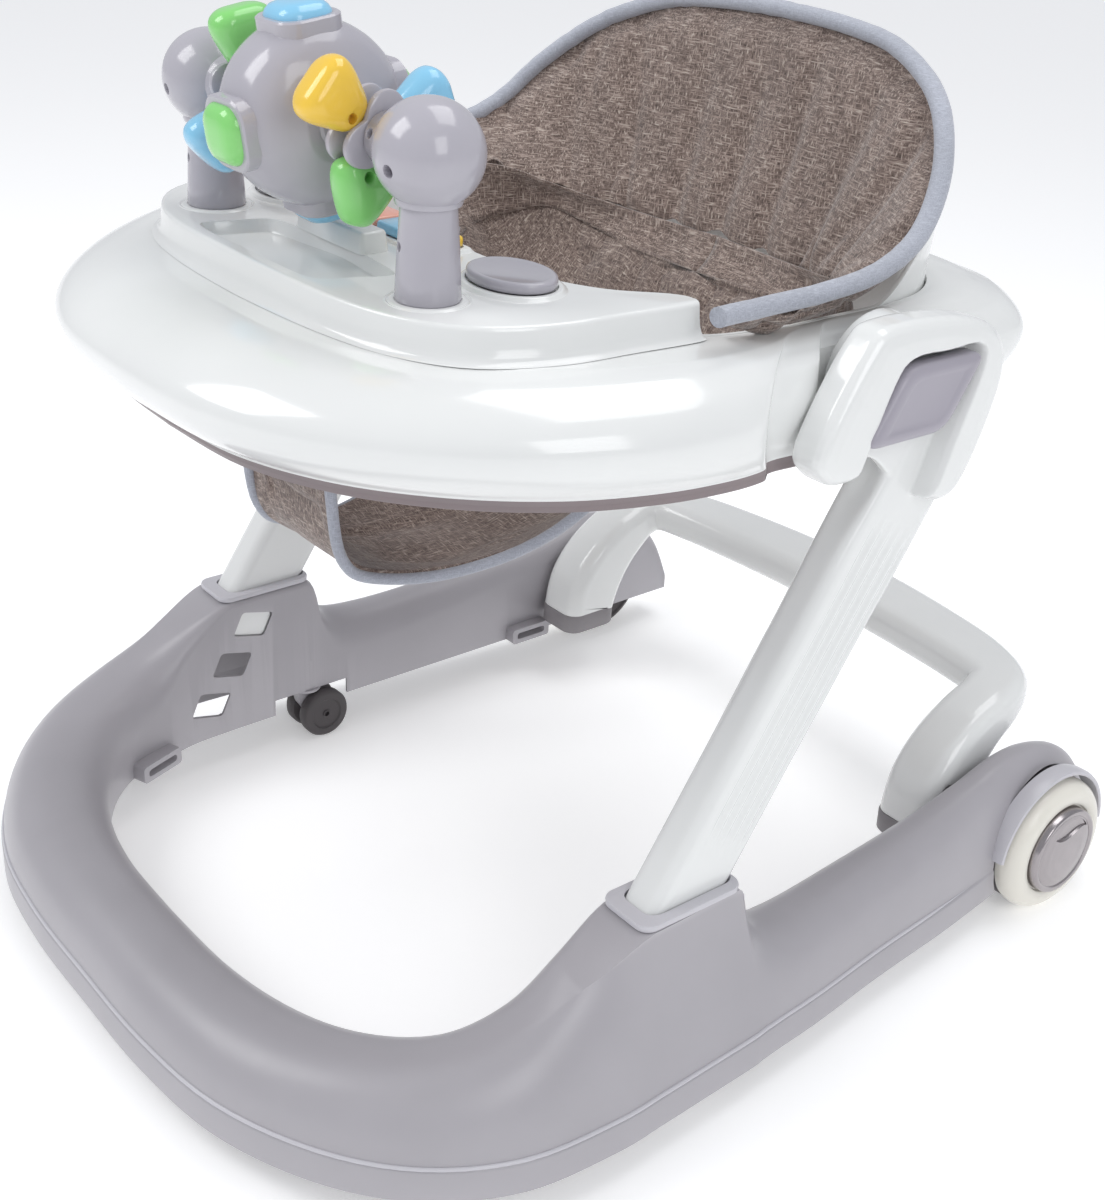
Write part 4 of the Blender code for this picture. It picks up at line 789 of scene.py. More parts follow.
def tray_ring(side, row, profile):
    ox, oy, hx, hy, bulge = row
    outer, hole = Vector((side * ox, oy, 0)), Vector((side * hx, hy, 0))
    span, across = (hole - outer).length, (hole - outer).normalized()
    return [outer + across * a + Vector((0, 0, z)) for a, z in profile(span, min(max(bulge, 0.2), 1))]


def top_profile(span, bulge):
    k = min(1, (span - 0.006) / 0.066)
    skin = smooth_rows(((0.066, 0.4662), (0.056, 0.4659), (0.036, 0.4625), (0.014, 0.453), (0.0015, 0.44),
        (0.0025, 0.4275), (0.011, 0.416), (0.0235, 0.4068), (0.025, TRAY_LOW_Z)), 4)
    inner = smooth_rows(((0.06, 0.463), (0.037, 0.4594), (0.0162, 0.4505), (0.0045, 0.439),
        (0.0055, 0.4288), (0.0137, 0.4178), (0.028, TRAY_LOW_Z)), 2)

    def pull(points):
        return [(a * k if a > 0.03 else a * k * mix(0.35, 1, bulge), z) for a, z in points]

    outside = [(span, DECK_Z - 0.018), (span, DECK_Z - 0.002), (span - 0.0008, DECK_Z - 0.0004)] + pull(skin)
    inside = [(span - 0.003, DECK_Z - 0.018), (span - 0.003, DECK_Z - 0.005)] + pull(inner)
    return outside + inside[::-1]


def pan_profile(span, bulge):
    k = min(1, (span - 0.006) / 0.066) * mix(0.35, 1, bulge)
    edge, foot, top = 0.027 * k, 0.031 * k, TRAY_LOW_Z - 0.0003
    return [(edge, top), (edge + 0.0002, top - 0.0035), (edge + 0.0014, top - 0.0038),
        (foot - 0.0008, PAN_Z + 0.0008), (foot, PAN_Z), (span - 0.0005, PAN_Z),
        (span - 0.0005, DECK_Z - 0.0183), (span - 0.003, DECK_Z - 0.0183), (span - 0.003, PAN_Z + 0.0025),
        (foot + 0.002, PAN_Z + 0.0025), (edge + 0.0022, top)]


PANEL_HALF = ((0.0, -0.216), (0.075, -0.214), (0.128, -0.204), (0.165, -0.18), (0.184, -0.14),
    (0.189, -0.095), (0.1935, -0.052), (0.188, -0.046), (0.176, -0.052), (0.15, -0.078), (0.11, -0.094),
    (0.045, -0.0965), (0.0, -0.0965))


def circle(cx, cy, rx, ry=None, steps=64):
    ry = rx if ry is None else ry
    return [(cx + rx * math.cos(2 * math.pi * i / steps), cy + ry * math.sin(2 * math.pi * i / steps))
        for i in range(steps)]


def make_panel():
    half = smooth_rows(PANEL_HALF, 5)
    outline = (half + [(-x, y) for x, y in reversed(half[1:-1])])[::-1]
    centre = Vector((0, -0.14))
    rings = []
    for level, grow in ((DECK_Z + 0.0004, 0.0085), (DECK_Z + 0.0012, 0.0058), (DECK_Z + 0.003, 0.0034),
            (DECK_Z + 0.006, 0.0018), (DECK_Z + 0.011, 0.0006), (PANEL_TOP - 0.0028, 0.0),
            (PANEL_TOP - 0.0012, -0.0005), (PANEL_TOP - 0.0003, -0.0016), (PANEL_TOP, -0.0032)):
        ring = []
        for x, y in outline:
            away = (Vector((x, y)) - centre).normalized()
            ring.append((x + away.x * grow, y + min(away.y, 0) * grow, level))
        rings.append(ring)
    panel = build("panel_body", *loft(rings), "white", 40)
    bowl = [(-0.082, -0.206), (0.052, -0.206), (0.07, -0.16), (0.0, -0.152), (-0.07, -0.16)]
    bowl = eased_corners(bowl, (0.12, 0.5, 0.88))
    cut(panel, dome("bowl", bowl, ((PANEL_TOP - 0.0085, -0.0045), (PANEL_TOP - 0.0078, -0.0022),
        (PANEL_TOP - 0.006, -0.001), (PANEL_TOP - 0.001, 0), (PANEL_TOP + 0.004, 0.0022)), "white", "XY"))
    sharpen(panel, 35)
    put(panel, "tray", "gloss_white", "play_panel")
    for side, label in SIDES:
        raised = ((PANEL_TOP - 0.0005, 0.003), (PANEL_TOP + 0.0004, 0.0014), (PANEL_TOP + 0.0014, 0.0004),
            (PANEL_TOP + 0.002, -0.0002), (PANEL_TOP + 0.0022, -0.0012))
        ring = dome(f"plinth_{label}", circle(side * POST_X, POST_Y, 0.0215),
            tuple((z - (0.0014 if k > 1 else 0), g) for k, (z, g) in enumerate(raised)), "white", "XY")
        cut(ring, turned("hole", [(PANEL_TOP + 0.0002, 0), (PANEL_TOP + 0.0002, 0.0183), (0.49, 0.0183),
            (0.49, 0)], (side * POST_X, POST_Y, 0), "Z", "white", 48))
        put(ring, "tray", "gloss_white")
        ring = dome(f"disc_ring_{label}", circle(side * POST_X, DISC_Y, 0.0335, 0.026), raised, "white", "XY")
        cut(ring, dome("well", circle(side * POST_X, DISC_Y, 0.0305, 0.023), ((0.4862, 0), (0.492, 0)),
            "white", "XY"))
        put(sharpen(ring, 40), "tray", "gloss_white")
        z = PANEL_TOP + 0.0024
        pad = dome(f"disc_{label}", circle(side * POST_X, DISC_Y, 0.03, 0.0225),
            ((z, -0.001), (z + 0.0006, 0), (z + 0.0042, 0), (z + 0.0054, -0.0006), (z + 0.006, -0.002),
            (z + 0.0058, -0.0042), (z + 0.0055, -0.005)), "toy", "XY")
        put(pad, f"music_pad_{label}", "toy_grey", f"music_pad_{label}")
    box_rows = ((0, 0.0), (0.0105, -0.0012), (0.012, -0.0022), (0.0124, -0.0036))
    block = [(-0.01 + a, -0.1475 + b) for a, b in rounded_rectangle(0.074, 0.02, 0.004)]
    put(dome("key_block", block, tuple((PANEL_TOP + z, g) for z, g in box_rows), "white", "XY"), "tray",
        "gloss_white")
    bed = [(0.004 + a, KEYS_Y + b) for a, b in rounded_rectangle(0.096, 0.032, 0.005)]
    plate = dome("key_bed", bed, ((PANEL_TOP - 0.0005, 0.0022), (PANEL_TOP + 0.0008, 0.0006),
        (PANEL_TOP + 0.0016, 0), (PANEL_TOP + 0.0021, -0.0012)), "white", "XY")
    for _, x in KEYS:
        well = [(x + a, KEYS_Y + b) for a, b in rounded_rectangle(0.0278, 0.0268, 0.0042)]
        cut(plate, dome("well", well, ((PANEL_TOP + 0.0002, 0), (PANEL_TOP + 0.006, 0)), "white", "XY"))
    put(sharpen(plate, 40), "tray", "gloss_white")
    for name, x in KEYS:
        z = PANEL_TOP + 0.0024
        shape = [(x + a, KEYS_Y + b) for a, b in rounded_rectangle(0.027, 0.026, 0.004)]
        put(dome(f"piano_{name}", shape, ((z, -0.0006), (z + 0.0005, 0), (z + 0.0044, 0),
            (z + 0.0055, -0.0005), (z + 0.006, -0.0016)), name, "XY"), f"key_{name}",
            {"coral": "key_coral"}.get(name, f"toy_{name}"), f"key_{name}")


def make_tray():
    rows = tray_rows(8)
    top = build("tray_shell", *loft([tray_ring(s, r, top_profile) for s, r in rows], closed=True), "white",
        50)
    for side, _ in SIDES:
        cut(top, turned("hub", [(side * 0.2275, 0), (side * 0.2275, 0.009), (side * 0.244, 0.009),
            (side * 0.2445, 0.0085), (side * 0.2445, 0)], (0, PIVOT_Y, PIVOT_Z), "X", "white", 32), "UNION")
    sharpen(top, 50)
    put(top, "tray", "gloss_white", "tray_top")
    # The underside takes the darker, warmer grey: painted shade under the tray.
    pan = build("tray_underside_painted_shade", *loft([tray_ring(s, r, pan_profile) for s, r in rows], closed=True),
        "pan", 30)
    put(pan, "tray", "tray_grey", "tray_base")
    rings = []
    for side, row in rows:
        _, _, hx, hy, _ = row
        out = Vector((side * hx, hy - 0.05, 0)).normalized()
        wall_out = Vector((side * hx, hy, 0)) - out * 0.0006
        wall_in = wall_out - out * 0.0028
        rise = ease((hy - 0.085) / 0.075)
        top_z = mix(DECK_Z - 0.0005, 0.528, rise)
        knee = min(DECK_Z + 0.001, top_z - 0.001)
        ring = [wall_out + Vector((0, 0, 0.418)), wall_out + Vector((0, 0, knee))]
        for t in (0.25, 0.5, 0.75, 0.97):
            ring.append(wall_out + out * 0.006 * rise * t ** 1.5 + Vector((0, 0, mix(knee, top_z, t))))
        lip = (wall_out + wall_in) / 2 + out * 0.006 * rise + Vector((0, 0, top_z))
        ring += [lip + out * 0.001, lip - out * 0.001]
        for t in (0.97, 0.5):
            ring.append(wall_in + out * 0.006 * rise * t ** 1.5 + Vector((0, 0, mix(knee, top_z, t))))
        ring += [wall_in + Vector((0, 0, knee)), wall_in + Vector((0, 0, 0.418))]
        rings.append(ring)
    put(build("seat_hoop", *loft(rings, closed=True), "white", 40), "tray", "gloss_white", "seat_ring")


# ---- handle --------------------------------------------------------------------------------------

HANDLE_PIVOT_Y, HANDLE_PIVOT_Z = 0.208, 0.088
HANDLE_STATIONS = ((0.199, 0.211, 0.0625, 0.046, 0.053), (0.199, 0.217, 0.083, 0.046, 0.054),
    (0.199, 0.231, 0.104, 0.046, 0.049), (0.199, 0.252, 0.122, 0.045, 0.041),
    (0.198, 0.274, 0.1335, 0.044, 0.034), (0.187, 0.293, 0.1375, 0.045, 0.03),
    (0.154, 0.3055, 0.1375, 0.052, 0.03), (0.108, 0.3125, 0.1375, 0.056, 0.03),
    (0.055, 0.3175, 0.1375, 0.059, 0.03), (0.0, 0.32, 0.1375, 0.06, 0.03))


def handle_rings(rows):
    centres = [Vector(row[:3]) for row in rows]
    rings = []
    for i, row in enumerate(rows):
        along = (centres[min(i + 1, len(rows) - 1)] - centres[max(i - 1, 0)]).normalized()
        along = Vector((0, 0, 1)) if i == 0 else Vector((-1, 0, 0)) if i == len(rows) - 1 else along
        level = Vector((along.y, -along.x, 0)) if abs(along.x) > 0.05 else Vector((1, 0, 0))
        level = level.normalized()
        level = level if level.x + level.y >= 0 else -level
        up = along.cross(level).normalized()
        corner = min(0.0125, row[4] * 0.46)
        rings.append([centres[i] + level * a + up * b for a, b in rounded_rectangle(row[3], row[4], corner,
            8)])
    return rings


def make_handle():
    half = handle_rings(smooth_rows(HANDLE_STATIONS, 6))
    rings = half + [[Vector((-p.x, p.y, p.z)) for p in ring] for ring in reversed(half[:-1])]
    grip = build("grip_bar", *loft(rings), "white", 60)
    for side in (1, -1):
        cut(grip, turned("bore", [(side * 0.2035, 0), (side * 0.2035, 0.0063), (side * 0.2205, 0.0063),
            (side * 0.2222, 0.0085), (side * 0.23, 0.0085), (side * 0.23, 0)],
            (0, HANDLE_PIVOT_Y, HANDLE_PIVOT_Z), "X", "white", 32))
    sharpen(grip, 60)
    put(grip, "handle", "gloss_white", "push_handle")
    x, y, z, width, depth = HANDLE_STATIONS[0]
    foot = [(x + a, y - 0.0008 + b) for a, b in rounded_rectangle(width + 0.0005, depth + 0.0005, 0.0125, 8)]
    tip = dome("tip", foot, ((z - 0.017, -0.0022), (z - 0.0166, -0.0008), (z - 0.0155, 0), (z - 0.002, 0.0),
        (z - 0.0012, -0.0004), (z - 0.0003, -0.0004)), "tip", "XY")
    both(tip, "foot_tip", "handle", "tip_rubber", ("handle_tip_{}",))


# ---- wheels --------------------------------------------------------------------------------------

def make_wheels():
    centre = (0, WHEEL_Y, WHEEL_Z)
    tyre = [(0.238, 0.0053), (0.238, 0.03), (0.2396, 0.032), (0.2396, 0.043), (0.238, 0.0445),
        (0.238, 0.046), (0.24, 0.0488)]
    for k in range(6):
        x = 0.2415 + 0.0034 * k
        tyre += [(x, 0.05), (x + 0.0022, 0.05), (x + 0.0026, 0.0494), (x + 0.0031, 0.0494)]
    tyre += [(0.263, 0.0498), (0.263, 0.0053)]
    both(turned("tyre", tyre, centre, "X", "dark", 96), "tyre", "rear_wheel_{}", "dark_rubber",
        ("rear_tyre_{}",))
    rim = [(0.2633, 0.0053), (0.2633, 0.05), (0.265, 0.0506)] + bezier((0.268, 0.051), (0.2765, 0.051),
        (0.2815, 0.0455), (0.2815, 0.0395), 12)
    rim += [(0.2812, 0.0368), (0.2802, 0.0352), (0.2775, 0.0346), (0.2775, 0.0053)]
    both(turned("rim", rim, centre, "X", "cream", 96), "rim_ring", "rear_wheel_{}", "cream_white",
        ("rear_rim_{}",))
    cap = turned("cap", [(0.2778, 0), (0.2778, 0.0335), (0.2846, 0.033), (0.2856, 0.0322), (0.286, 0.0308),
        (0.2856, 0.0292), (0.2849, 0.0284), (0.2858, 0.0262), (0.2866, 0.018), (0.287, 0.0)], centre, "X",
        "silver", 96)
    leaf = bezier((0.254, 0.066), (0.262, 0.082), (0.285, 0.08), (0.291, 0.066), 10)
    leaf += bezier((0.291, 0.066), (0.279, 0.071), (0.27, 0.056), (0.254, 0.066), 10)[1:-1]
    cut(cap, dome("leaf", leaf, ((0.2848, -0.0008), (0.2868, 0.0), (0.289, 0.0012)), "silver"))
    sharpen(cap, 40)
    both(cap, "hub_cap", "rear_wheel_{}", "cap_silver", ("rear_cap_{}",))
    for name, x, y in CASTERS:
        wheel_y, half = y + 0.01, 0.0165
        one = [(half, 0), (half, 0.003), (half - 0.0012, 0.0034), (half - 0.0012, 0.0125), (half, 0.0135),
            (half, 0.018), (half - 0.0008, 0.0195), (half - 0.0025, 0.0205), (half - 0.009, 0.0205),
            (half - 0.0105, 0.02), (half - 0.0115, 0.0188), (half - 0.0115, 0.003)]
        wheel = turned("wheel", [(x - a, r) for a, r in one] + [(x + a, r) for a, r in reversed(one)],
            (0, wheel_y, 0.0205), "X", "dark", 48)
        for sign in (1, -1):
            cut(wheel, turned("pin_hole", [(x + sign * (half - 0.003), 0),
                (x + sign * (half - 0.003), 0.0022), (x + sign * (half + 0.01), 0.0022),
                (x + sign * (half + 0.01), 0)], (0, wheel_y, 0.0205), "X", "dark", 20))
        both(wheel, f"twin_{name}", f"caster_wheels_{name}_{{}}", "dark_rubber",
            (f"caster_wheels_{name}_{{}}",))


# ---- toys ----------------------------------------------------------------------------------------

POST_X, POST_Y, BAR_Z = 0.116, -0.1725, 0.564
DRUM_R, HEAD_R, BAR_BORE, SPINNER_X = 0.052, 0.03, 0.0043, 0.064


def bar_frame(degrees):
    """The directions away from the toy bar and round it, at an angle."""
    angle = math.radians(degrees)
    return Vector((0, math.cos(angle), math.sin(angle))), Vector((0, -math.sin(angle), math.cos(angle)))


def stacked(middle, degrees, levels):
    """Sections stacked away from the toy bar: each level is a height and its outline."""
    out, along = bar_frame(degrees)
    return [[middle + out * height + along * a + Vector((b, 0, 0)) for a, b in outline]
        for height, outline in levels]


def drill(obj, at, direction, radius=0.0036, depth=0.006):
    """A round screw hole, sunk along the direction."""
    direction = Vector(direction).normalized()
    side = direction.orthogonal().normalized()
    up = direction.cross(side)
    rings = [[Vector(at) + direction * t + (side * math.cos(a) + up * math.sin(a)) * r
        for a in (2 * math.pi * k / 20 for k in range(20))]
        for t, r in ((-depth, radius), (-0.0006, radius), (0.003, radius + 0.0028))]
    cut(obj, build("drill", *loft(rings), "toy"))


def make_posts():
    for side, label in SIDES:
        x = side * POST_X
        post = turned("post", [(PANEL_TOP + 0.0003, 0), (PANEL_TOP + 0.0003, 0.0172),
            (PANEL_TOP + 0.0014, 0.018), (0.5, 0.0173), (0.515, 0.0166), (0.5375, 0.0152), (0.5375, 0)],
            (x, POST_Y, 0), "Z", "toy", 64)
        drill(post, (x - 0.004, POST_Y - 0.0164, 0.516), (-0.25, -1, 0), 0.0026)
        sharpen(post, 40)
        put(post, "tray", "toy_grey", f"toy_post_{label}")
        r = HEAD_R
        profile = [(-r, 0)] + [(-r * math.cos(a), r * 0.97 * math.sin(a) ** 0.92)
            for a in (math.pi * k / 32 for k in range(1, 32))] + [(r, 0)]
        head = turned("head", profile, (x, POST_Y, BAR_Z), "X", "toy", 72)
        neck = [(0.01, 0), (0.01, 0.019), (0.0262, 0.0172), (0.029, 0.016), (0.0385, 0.015),
            (0.0398, 0.0138), (0.0398, 0)]
        cut(head, turned("neck", [(-side * a, b) for a, b in neck], (x, POST_Y, BAR_Z), "X", "toy", 56),
            "UNION")
        cut(head, turned("band", [(0.5378, 0), (0.5378, 0.0176), (0.5395, 0.0182), (0.5445, 0.0182),
            (0.56, 0.012), (0.56, 0)], (x, POST_Y, 0), "Z", "toy", 56), "UNION")
        cut(head, prism("flat", ((POST_Y - 0.04, 0.5), (POST_Y + 0.04, 0.5), (POST_Y + 0.04, 0.5378),
            (POST_Y - 0.04, 0.5378)), x - 0.05, x + 0.05, "toy"))
        cut(head, turned("bore", [(-side * 0.015, 0), (-side * 0.015, BAR_BORE), (-side * 0.06, BAR_BORE),
            (-side * 0.06, 0)], (x, POST_Y, BAR_Z), "X", "toy", 24))
        drill(head, (x + side * 0.004, POST_Y - 0.0285, BAR_Z - 0.006), (side * 0.15, -1, -0.2))
        drill(head, (x - side * 0.034, POST_Y - 0.0145, BAR_Z + 0.005), (0, -1, 0.3), 0.0026)
        sharpen(head, 40)
        put(head, "tray", "toy_grey", f"toy_head_{label}")


def make_drum():
    curve = [(0.0345, 0.3), (0.0345, 0.42), (0.0335, 0.46), (0.03, 0.6), (0.0262, 0.8), (0.0205, 0.9),
        (0.017, 0.945), (0.012, 0.975), (0.006, 0.995)]
    outer = [(-a, b * DRUM_R) for a, b in curve] + [(0, DRUM_R)] + [(a, b * DRUM_R)
        for a, b in reversed(curve)]
    drum = turned("drum_body", [(-0.036, BAR_BORE), (-0.036, 0.014)] + outer
        + [(0.036, 0.014), (0.036, BAR_BORE)], (0, POST_Y, BAR_Z), "X", "toy", 96)
    middle = Vector((0, POST_Y, BAR_Z))
    rim = rounded_rectangle(0.0405, 0.0425, 0.013)
    levels = [(DRUM_R + rise, grown(rim, grow)) for rise, grow in ((-0.01, 0), (0.0012, 0),
        (0.0022, -0.0012))]
    for k in range(4):
        cut(drum, build("frame_rim", *loft(stacked(middle, 98 + 90 * k, levels)), "toy"), "UNION")
    sharpen(drum, 32)
    put(drum, "drum", "toy_grey", "drum")
    for name, degrees, colour in (("top", 98, "blue"), ("front", 188, "green"), ("bottom", 278, "blue"),
            ("rear", 8, "green")):
        rows = ((-0.001, 1.0), (0.003, 1.0), (0.0055, 0.93), (0.0078, 0.8), (0.0091, 0.58), (0.0095, 0.3))
        rings = stacked(middle, degrees, [(DRUM_R + rise,
            rounded_rectangle(0.033 * s, 0.035 * s, 0.0115 * s)) for rise, s in rows])
        put(build(f"pad_{name}", *loft(rings), colour, 60), "drum", f"toy_{colour}", f"drum_pad_{name}")


# reach from the bar, width and thickness of the two bead shapes
BEAD_WIDE = ((0.0136, 0.014, 0.011), (0.0165, 0.02, 0.016), (0.02, 0.0245, 0.02), (0.027, 0.0305, 0.024),
    (0.036, 0.0375, 0.0255), (0.0425, 0.0385, 0.0245), (0.0465, 0.034, 0.0215), (0.049, 0.026, 0.016),
    (0.05, 0.015, 0.009))
BEAD_POINTED = ((0.0136, 0.02, 0.011), (0.016, 0.031, 0.017), (0.02, 0.038, 0.0225), (0.026, 0.038, 0.025),
    (0.034, 0.032, 0.0255), (0.042, 0.024, 0.0225), (0.047, 0.0175, 0.018), (0.0492, 0.0125, 0.012),
    (0.05, 0.007, 0.006))


def make_spinners():
    for side, label, beads in ((1, "left", ((140, "yellow", 1), (255, "green", -1), (20, "blue", 1))),
            (-1, "right", ((100, "green", 1), (225, "blue", 1), (340, "yellow", 1)))):
        x = side * SPINNER_X
        hub = [turned("core", [(-0.0095, BAR_BORE), (-0.0095, 0.0125), (0.0095, 0.0125),
            (0.0095, BAR_BORE)], (x, POST_Y, BAR_Z), "X", "toy", 48)]
        for shift in (-0.0086, 0.0086):
            turn = beads[0][0] + 60
            lobes = []
            for k in range(120):
                angle = math.radians(turn) + 2 * math.pi * k / 120
                wave = 0.5 + 0.5 * math.cos(3 * (angle - math.radians(turn)))
                radius = 0.015 + 0.01 * wave ** 0.75
                lobes.append((POST_Y + radius * math.cos(angle), BAR_Z + radius * math.sin(angle)))
            low, high = x + shift - 0.0026, x + shift + 0.0026
            hub.append(dome("lobes", lobes, ((low, -0.0018), (low + 0.0008, -0.0004), (low + 0.002, 0),
                (high - 0.002, 0), (high - 0.0008, -0.0004), (high, -0.0018)), "toy"))
        made = hub[0]
        for other in hub[1:]:
            cut(made, other, "UNION")
        cut(made, turned("bore", [(-0.03, 0), (-0.03, BAR_BORE), (0.03, BAR_BORE), (0.03, 0)],
            (x, POST_Y, BAR_Z), "X", "toy", 24))
        sharpen(made, 40)
        made.name = f"lobed_hub_{label}"
        put(made, f"spinner_{label}", "toy_grey", f"spinner_hub_{label}")
        for degrees, colour, way in beads:
            out, along = bar_frame(degrees)
            middle = Vector((x, POST_Y, BAR_Z))
            widths = BEAD_WIDE if way > 0 else BEAD_POINTED
            rings = stacked(middle, degrees, [(reach, rounded_rectangle(w, t, 0.46 * min(t, w), 8))
                for reach, w, t in smooth_rows(widths, 3)])
            bead = build("bead", *loft(rings), colour, 70)
            drill(bead, middle + out * 0.022 + along * 0.004 * way + Vector((0.0112, 0, 0)), (1, 0, 0),
                0.003, 0.008)
            sharpen(bead, 60)
            bead.name = f"toy_bead_{label}_{colour}"
            put(bead, f"spinner_{label}", f"toy_{colour}", f"bead_{label}_{colour}")


# ---- seat ----------------------------------------------------------------------------------------

BACK_TOP = ((0.0, 0.1925, 0.6), (0.06, 0.191, 0.598), (0.11, 0.185, 0.591), (0.158, 0.168, 0.571),
    (0.19, 0.142, 0.541), (0.206, 0.112, 0.51), (0.214, 0.075, 0.494), (0.217, 0.03, 0.488),
    (0.216, -0.038, 0.486))
BACK_LOW = ((0.0, 0.15, 0.445), (0.04, 0.148, 0.445), (0.078, 0.142, 0.446), (0.112, 0.13, 0.45),
    (0.14, 0.112, 0.457), (0.166, 0.093, 0.466), (0.19, 0.068, 0.4695), (0.199, 0.029, 0.4695),
    (0.2, -0.038, 0.4695))
BACK_THICK, SLING_THICK = 0.007, 0.005
SLING_STATIONS = ((-0.196, 0.3935, 0.05, 0.0), (-0.194, 0.35, 0.05, 0.0), (-0.187, 0.308, 0.05, 0.0),
    (-0.165, 0.288, 0.052, 0.002), (-0.11, 0.276, 0.062, 0.008), (-0.05, 0.274, 0.082, 0.03),
    (0.005, 0.284, 0.118, 0.085), (0.045, 0.304, 0.165, 0.125), (0.08, 0.334, 0.186, 0.1),
    (0.108, 0.374, 0.176, 0.066), (0.124, 0.403, 0.158, 0.042), (0.133, 0.426, 0.122, 0.012))


CLOTH_FRAMES, CLOTH_STIFFNESS = 20, 25


def stuffed(pad, cap, pressure):
    """A closed soft shell swollen by a short cloth simulation and subdivided once."""
    count = len(pad.data.vertices)
    rest = np.empty(count * 3, np.float64)
    pad.data.vertices.foreach_get("co", rest)
    rest = rest.reshape(-1, 3)
    cloth = pad.modifiers.new("cloth", "CLOTH").settings
    cloth.quality, cloth.mass = 4, 0.3
    cloth.tension_stiffness = cloth.compression_stiffness = CLOTH_STIFFNESS
    cloth.bending_stiffness = 2.0
    cloth.use_pressure = True
    cloth.uniform_pressure_force = pressure
    cloth.effector_weights.gravity = 0
    scene = bpy.context.scene
    for frame_number in range(1, CLOTH_FRAMES + 1):
        scene.frame_set(frame_number)
    graph = bpy.context.evaluated_depsgraph_get()
    swollen = pad.evaluated_get(graph).to_mesh()
    moved = np.empty(count * 3, np.float64)
    swollen.vertices.foreach_get("co", moved)
    moved = np.nan_to_num(moved.reshape(-1, 3) - rest)
    length = np.linalg.norm(moved, axis=1, keepdims=True)
    rest = rest + moved * np.minimum(1, cap / np.maximum(length, 1e-9))
    pad.modifiers.clear()
    scene.frame_set(1)
    pad.data.vertices.foreach_set("co", rest.reshape(-1))
    subdivide = pad.modifiers.new("soft", "SUBSURF")
    subdivide.levels = subdivide.render_levels = 1
    return apply(pad, 180)


def back_shell():
    top, low = smooth_rows(BACK_TOP, 7), smooth_rows(BACK_LOW, 7)
    top, low = [[(-x, y, z) for x, y, z in reversed(row[1:])] + row for row in (top, low)]
    rings = []
    for upper, lower in zip(top, low):
        upper, lower = Vector(upper), Vector(lower)
        away = Vector((lower.x, max(lower.y + 0.02, 0) * 1.2, 0)).normalized()
        levels = [i / 22 for i in range(23)]
        front = [lower.lerp(upper, v) + away * (0.003 * math.sin(math.pi * v) + 0.0006) for v in levels]
        rings.append(front + [point + away * (BACK_THICK - 0.0012) for point in reversed(front)])
    return build("seat_back", *loft(rings), "linen", 180)


def sling_shell():
    rows = smooth_rows(SLING_STATIONS, 6)
    across = [i / 24 - 1 for i in range(49)]
    rings = []
    for i, (y, z, half, lift) in enumerate(rows):
        before, after = rows[max(i - 1, 0)], rows[min(i + 1, len(rows) - 1)]
        along = Vector((0, after[0] - before[0], after[1] - before[1])).normalized()
        normal = Vector((0, -along.z, along.y))
        lower = [Vector((q * half, y, z + max(lift, 0) * abs(q) ** 2.4)) + normal * 0.0006 for q in across]
        rings.append(lower + [p + normal * (SLING_THICK - 0.0012) for p in reversed(lower)])
    return build("seat_sling", *loft(rings), "pan_linen", 180)


def make_gusset():
    """The strip that joins the seat pan's edge to the foot of the backrest, with a row of white tacks."""
    rim = smooth_rows(((0.15, 0.033, 0.412), (0.168, 0.05, 0.43), (0.184, 0.08, 0.435),
        (0.175, 0.107, 0.441), (0.157, 0.1225, 0.446), (0.121, 0.1315, 0.44), (0.06, 0.1345, 0.432),
        (0.0, 0.1345, 0.43)), 7)
    foot = smooth_rows(((0.198, 0.029, 0.472), (0.1945, 0.05, 0.4725), (0.184, 0.073, 0.4725),
        (0.164, 0.0935, 0.47), (0.139, 0.112, 0.462), (0.111, 0.13, 0.455), (0.06, 0.1455, 0.45),
        (0.0, 0.15, 0.45)), 7)
    rings = []
    for low, high in zip(rim, foot):
        low, high = Vector(low), Vector(high)
        away = Vector((low.x, low.y + 0.02, 0)).normalized()
        low += Vector((-0.05 * low.x, -0.004, -0.0045))
        inner = []
        for t in (k / 8 for k in range(9)):
            fold = 0.0016 * math.sin(len(rings) * 0.9) * math.sin(math.pi * t)
            inner.append(low.lerp(high, t) + away * (0.004 * math.sin(math.pi * t) + fold))
        rings.append(inner + [p + away * 0.0022 for p in reversed(inner)])
    left = build("gusset_left", *loft(rings), "linen", 180)
    right = mirrored(left, "gusset_right")
    for made in (left, right):
        put(made, "tray", "linen_brown")
    for x, y, z, turn in ((0.0, 0.104, 0.3725, 0.2), (0.062, 0.108, 0.3795, 0.5),
            (-0.062, 0.108, 0.3795, -0.2), (0.118, 0.098, 0.401, 0.8)):
        for k in range(3):
            angle = turn + (0, 1.1, 0.55)[k]
            way = Vector((math.cos(angle), math.sin(angle) * 0.8, math.sin(angle) * 0.5)) * 0.007
            middle = Vector((x, y, z))
            put(tube(f"tack_{x}_{k}", [middle - way, middle + Vector((0, 0, 0.0006)), middle + way], 0.0005,
                "thread", 8), "tray", "linen_brown")


def creased(pad, shift):
    """Moves each point by what the function says for its place and normal."""
    mesh = pad.data
    mesh.update()
    normals = [v.normal.copy() for v in mesh.vertices]
    for vertex, normal in zip(mesh.vertices, normals):
        vertex.co += shift(vertex.co, normal)
    mesh.update()


def valley(value, places, width):
    return max(math.exp(-((value - p) / width) ** 2) for p in places)


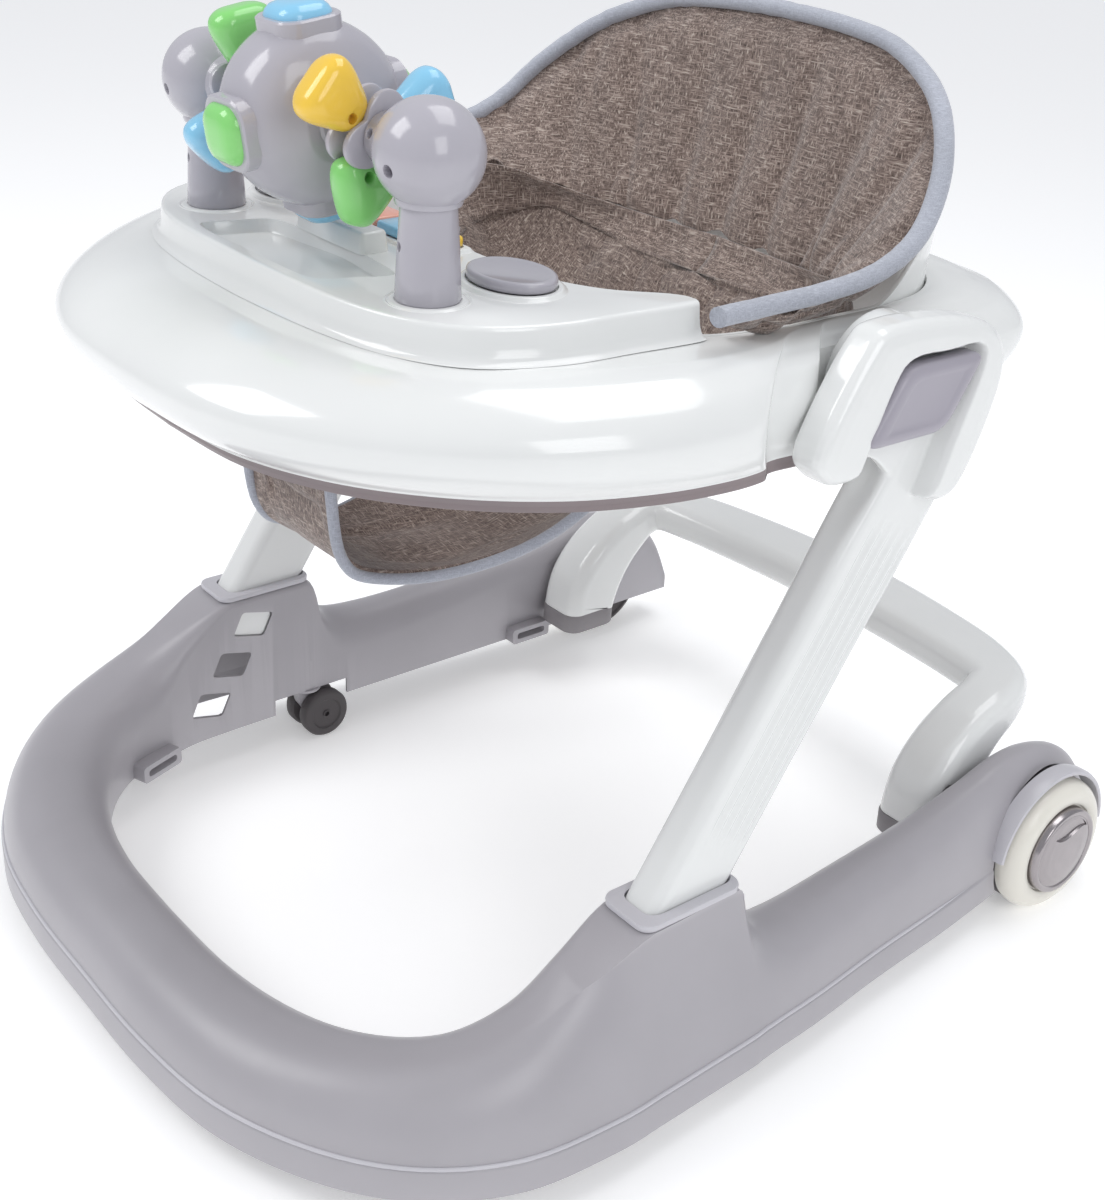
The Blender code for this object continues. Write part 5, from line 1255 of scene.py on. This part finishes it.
def make_seat():
    back = stuffed(back_shell(), 0.004, 4)
    back.name = "backrest"
    tucks = [math.radians(a) for a in (-97, -83, -68, -55, -41, -28, -14, -1, 12, 26, 39, 53, 66, 81, 96)]

    def back_shift(co, normal):
        around = math.atan2(co.x, co.y + 0.04)
        height = (co.z - 0.445) / 0.155
        wander = 0.05 * noise.noise(Vector((around * 3, co.z * 9, 3)))
        depth = ease(1.15 - abs(height - 0.25) * 1.25)
        tuck = valley(around + wander, tucks, 0.042)
        soft = noise.noise(Vector((around * 9, co.z * 11, 1))) + 0.5 * noise.noise(Vector((around * 24,
            co.z * 30, 2)))
        return normal * (-0.0058 * tuck * depth + 0.0016 * soft)

    creased(back, back_shift)
    put(back, "tray", "linen_brown", "seat_back")
    seat = stuffed(sling_shell(), 0.003, 3)
    seat.name = "seat_pan"
    make_gusset()

    def seat_shift(co, normal):
        spread = co.x / (0.06 + 0.9 * max(co.y + 0.1, 0))
        wander = 0.05 * noise.noise(Vector((co.x * 12, co.y * 9, 5)))
        tuck = valley(spread + wander, (-0.92, -0.66, -0.4, -0.14, 0.14, 0.4, 0.66, 0.92), 0.055)
        soft = noise.noise(Vector((co.x * 22, co.y * 16, co.z * 16)))
        return normal * (-0.0036 * tuck * ease((co.y + 0.02) / 0.06) + 0.0022 * soft)

    creased(seat, seat_shift)
    put(seat, "tray", "linen_brown", "seat_sling")
    half = smooth_rows(BACK_TOP, 8) + [(0.2168, -0.05, 0.4862), (0.2178, -0.06, 0.4868)]
    rim = [(-x, y, z) for x, y, z in reversed(half[1:])] + half
    rings = []
    for i, (x, y, z) in enumerate(rim):
        here = Vector((x, y, z))
        along = (Vector(rim[min(i + 1, len(rim) - 1)]) - Vector(rim[max(i - 1, 0)])).normalized()
        out = Vector((x, max(y + 0.02, 0) * 1.2, 0)).normalized()
        out = (out - along * out.dot(along)).normalized()
        up = along.cross(out).normalized()
        up = up if up.z > 0 else -up
        ripple = 0.0006 * noise.noise(Vector((i * 0.8, 0, 0)))
        middle = here + out * 0.003 + up * (0.0002 + ripple)
        rings.append([middle + out * 0.0062 * math.cos(a) + up * 0.0056 * math.sin(a)
            for a in (2 * math.pi * k / 20 for k in range(20))])
    put(build("back_binding", *loft(rings), "tape", 60), "tray", "linen_brown")
    for side, label in SIDES:
        points = []
        for y, z, width, lift in smooth_rows(SLING_STATIONS[:8], 6):
            points.append((side * width, y, z + lift + 0.0025))
        put(tube(f"crotch_binding_{label}", points, 0.0036, "tape", 14), "tray", "linen_brown")


def main():
    set_camera()
    set_stage()
    slots = {part["node"]: part["material_slot"] for part in frame["record"]["subparts"]}
    for name, node in NODES.items():
        for material_slot in node.material_slots:
            material_slot.material = M[SLOT_LOOKS[slots[name]]]
    make_base()
    make_arms()
    make_tray()
    make_panel()
    make_handle()
    make_wheels()
    make_posts()
    make_drum()
    make_spinners()
    make_seat()


SLOT_LOOKS = {"gloss_white": "white", "satin_grey": "base", "tray_grey": "pan", "toy_grey": "toy",
    "button_grey": "button", "dark_rubber": "dark", "cream_white": "cream", "cap_silver": "silver",
    "axle_steel": "steel", "tip_rubber": "tip", "linen_brown": "linen", "toy_yellow": "yellow",
    "toy_green": "green", "toy_blue": "blue", "key_coral": "coral"}
main()
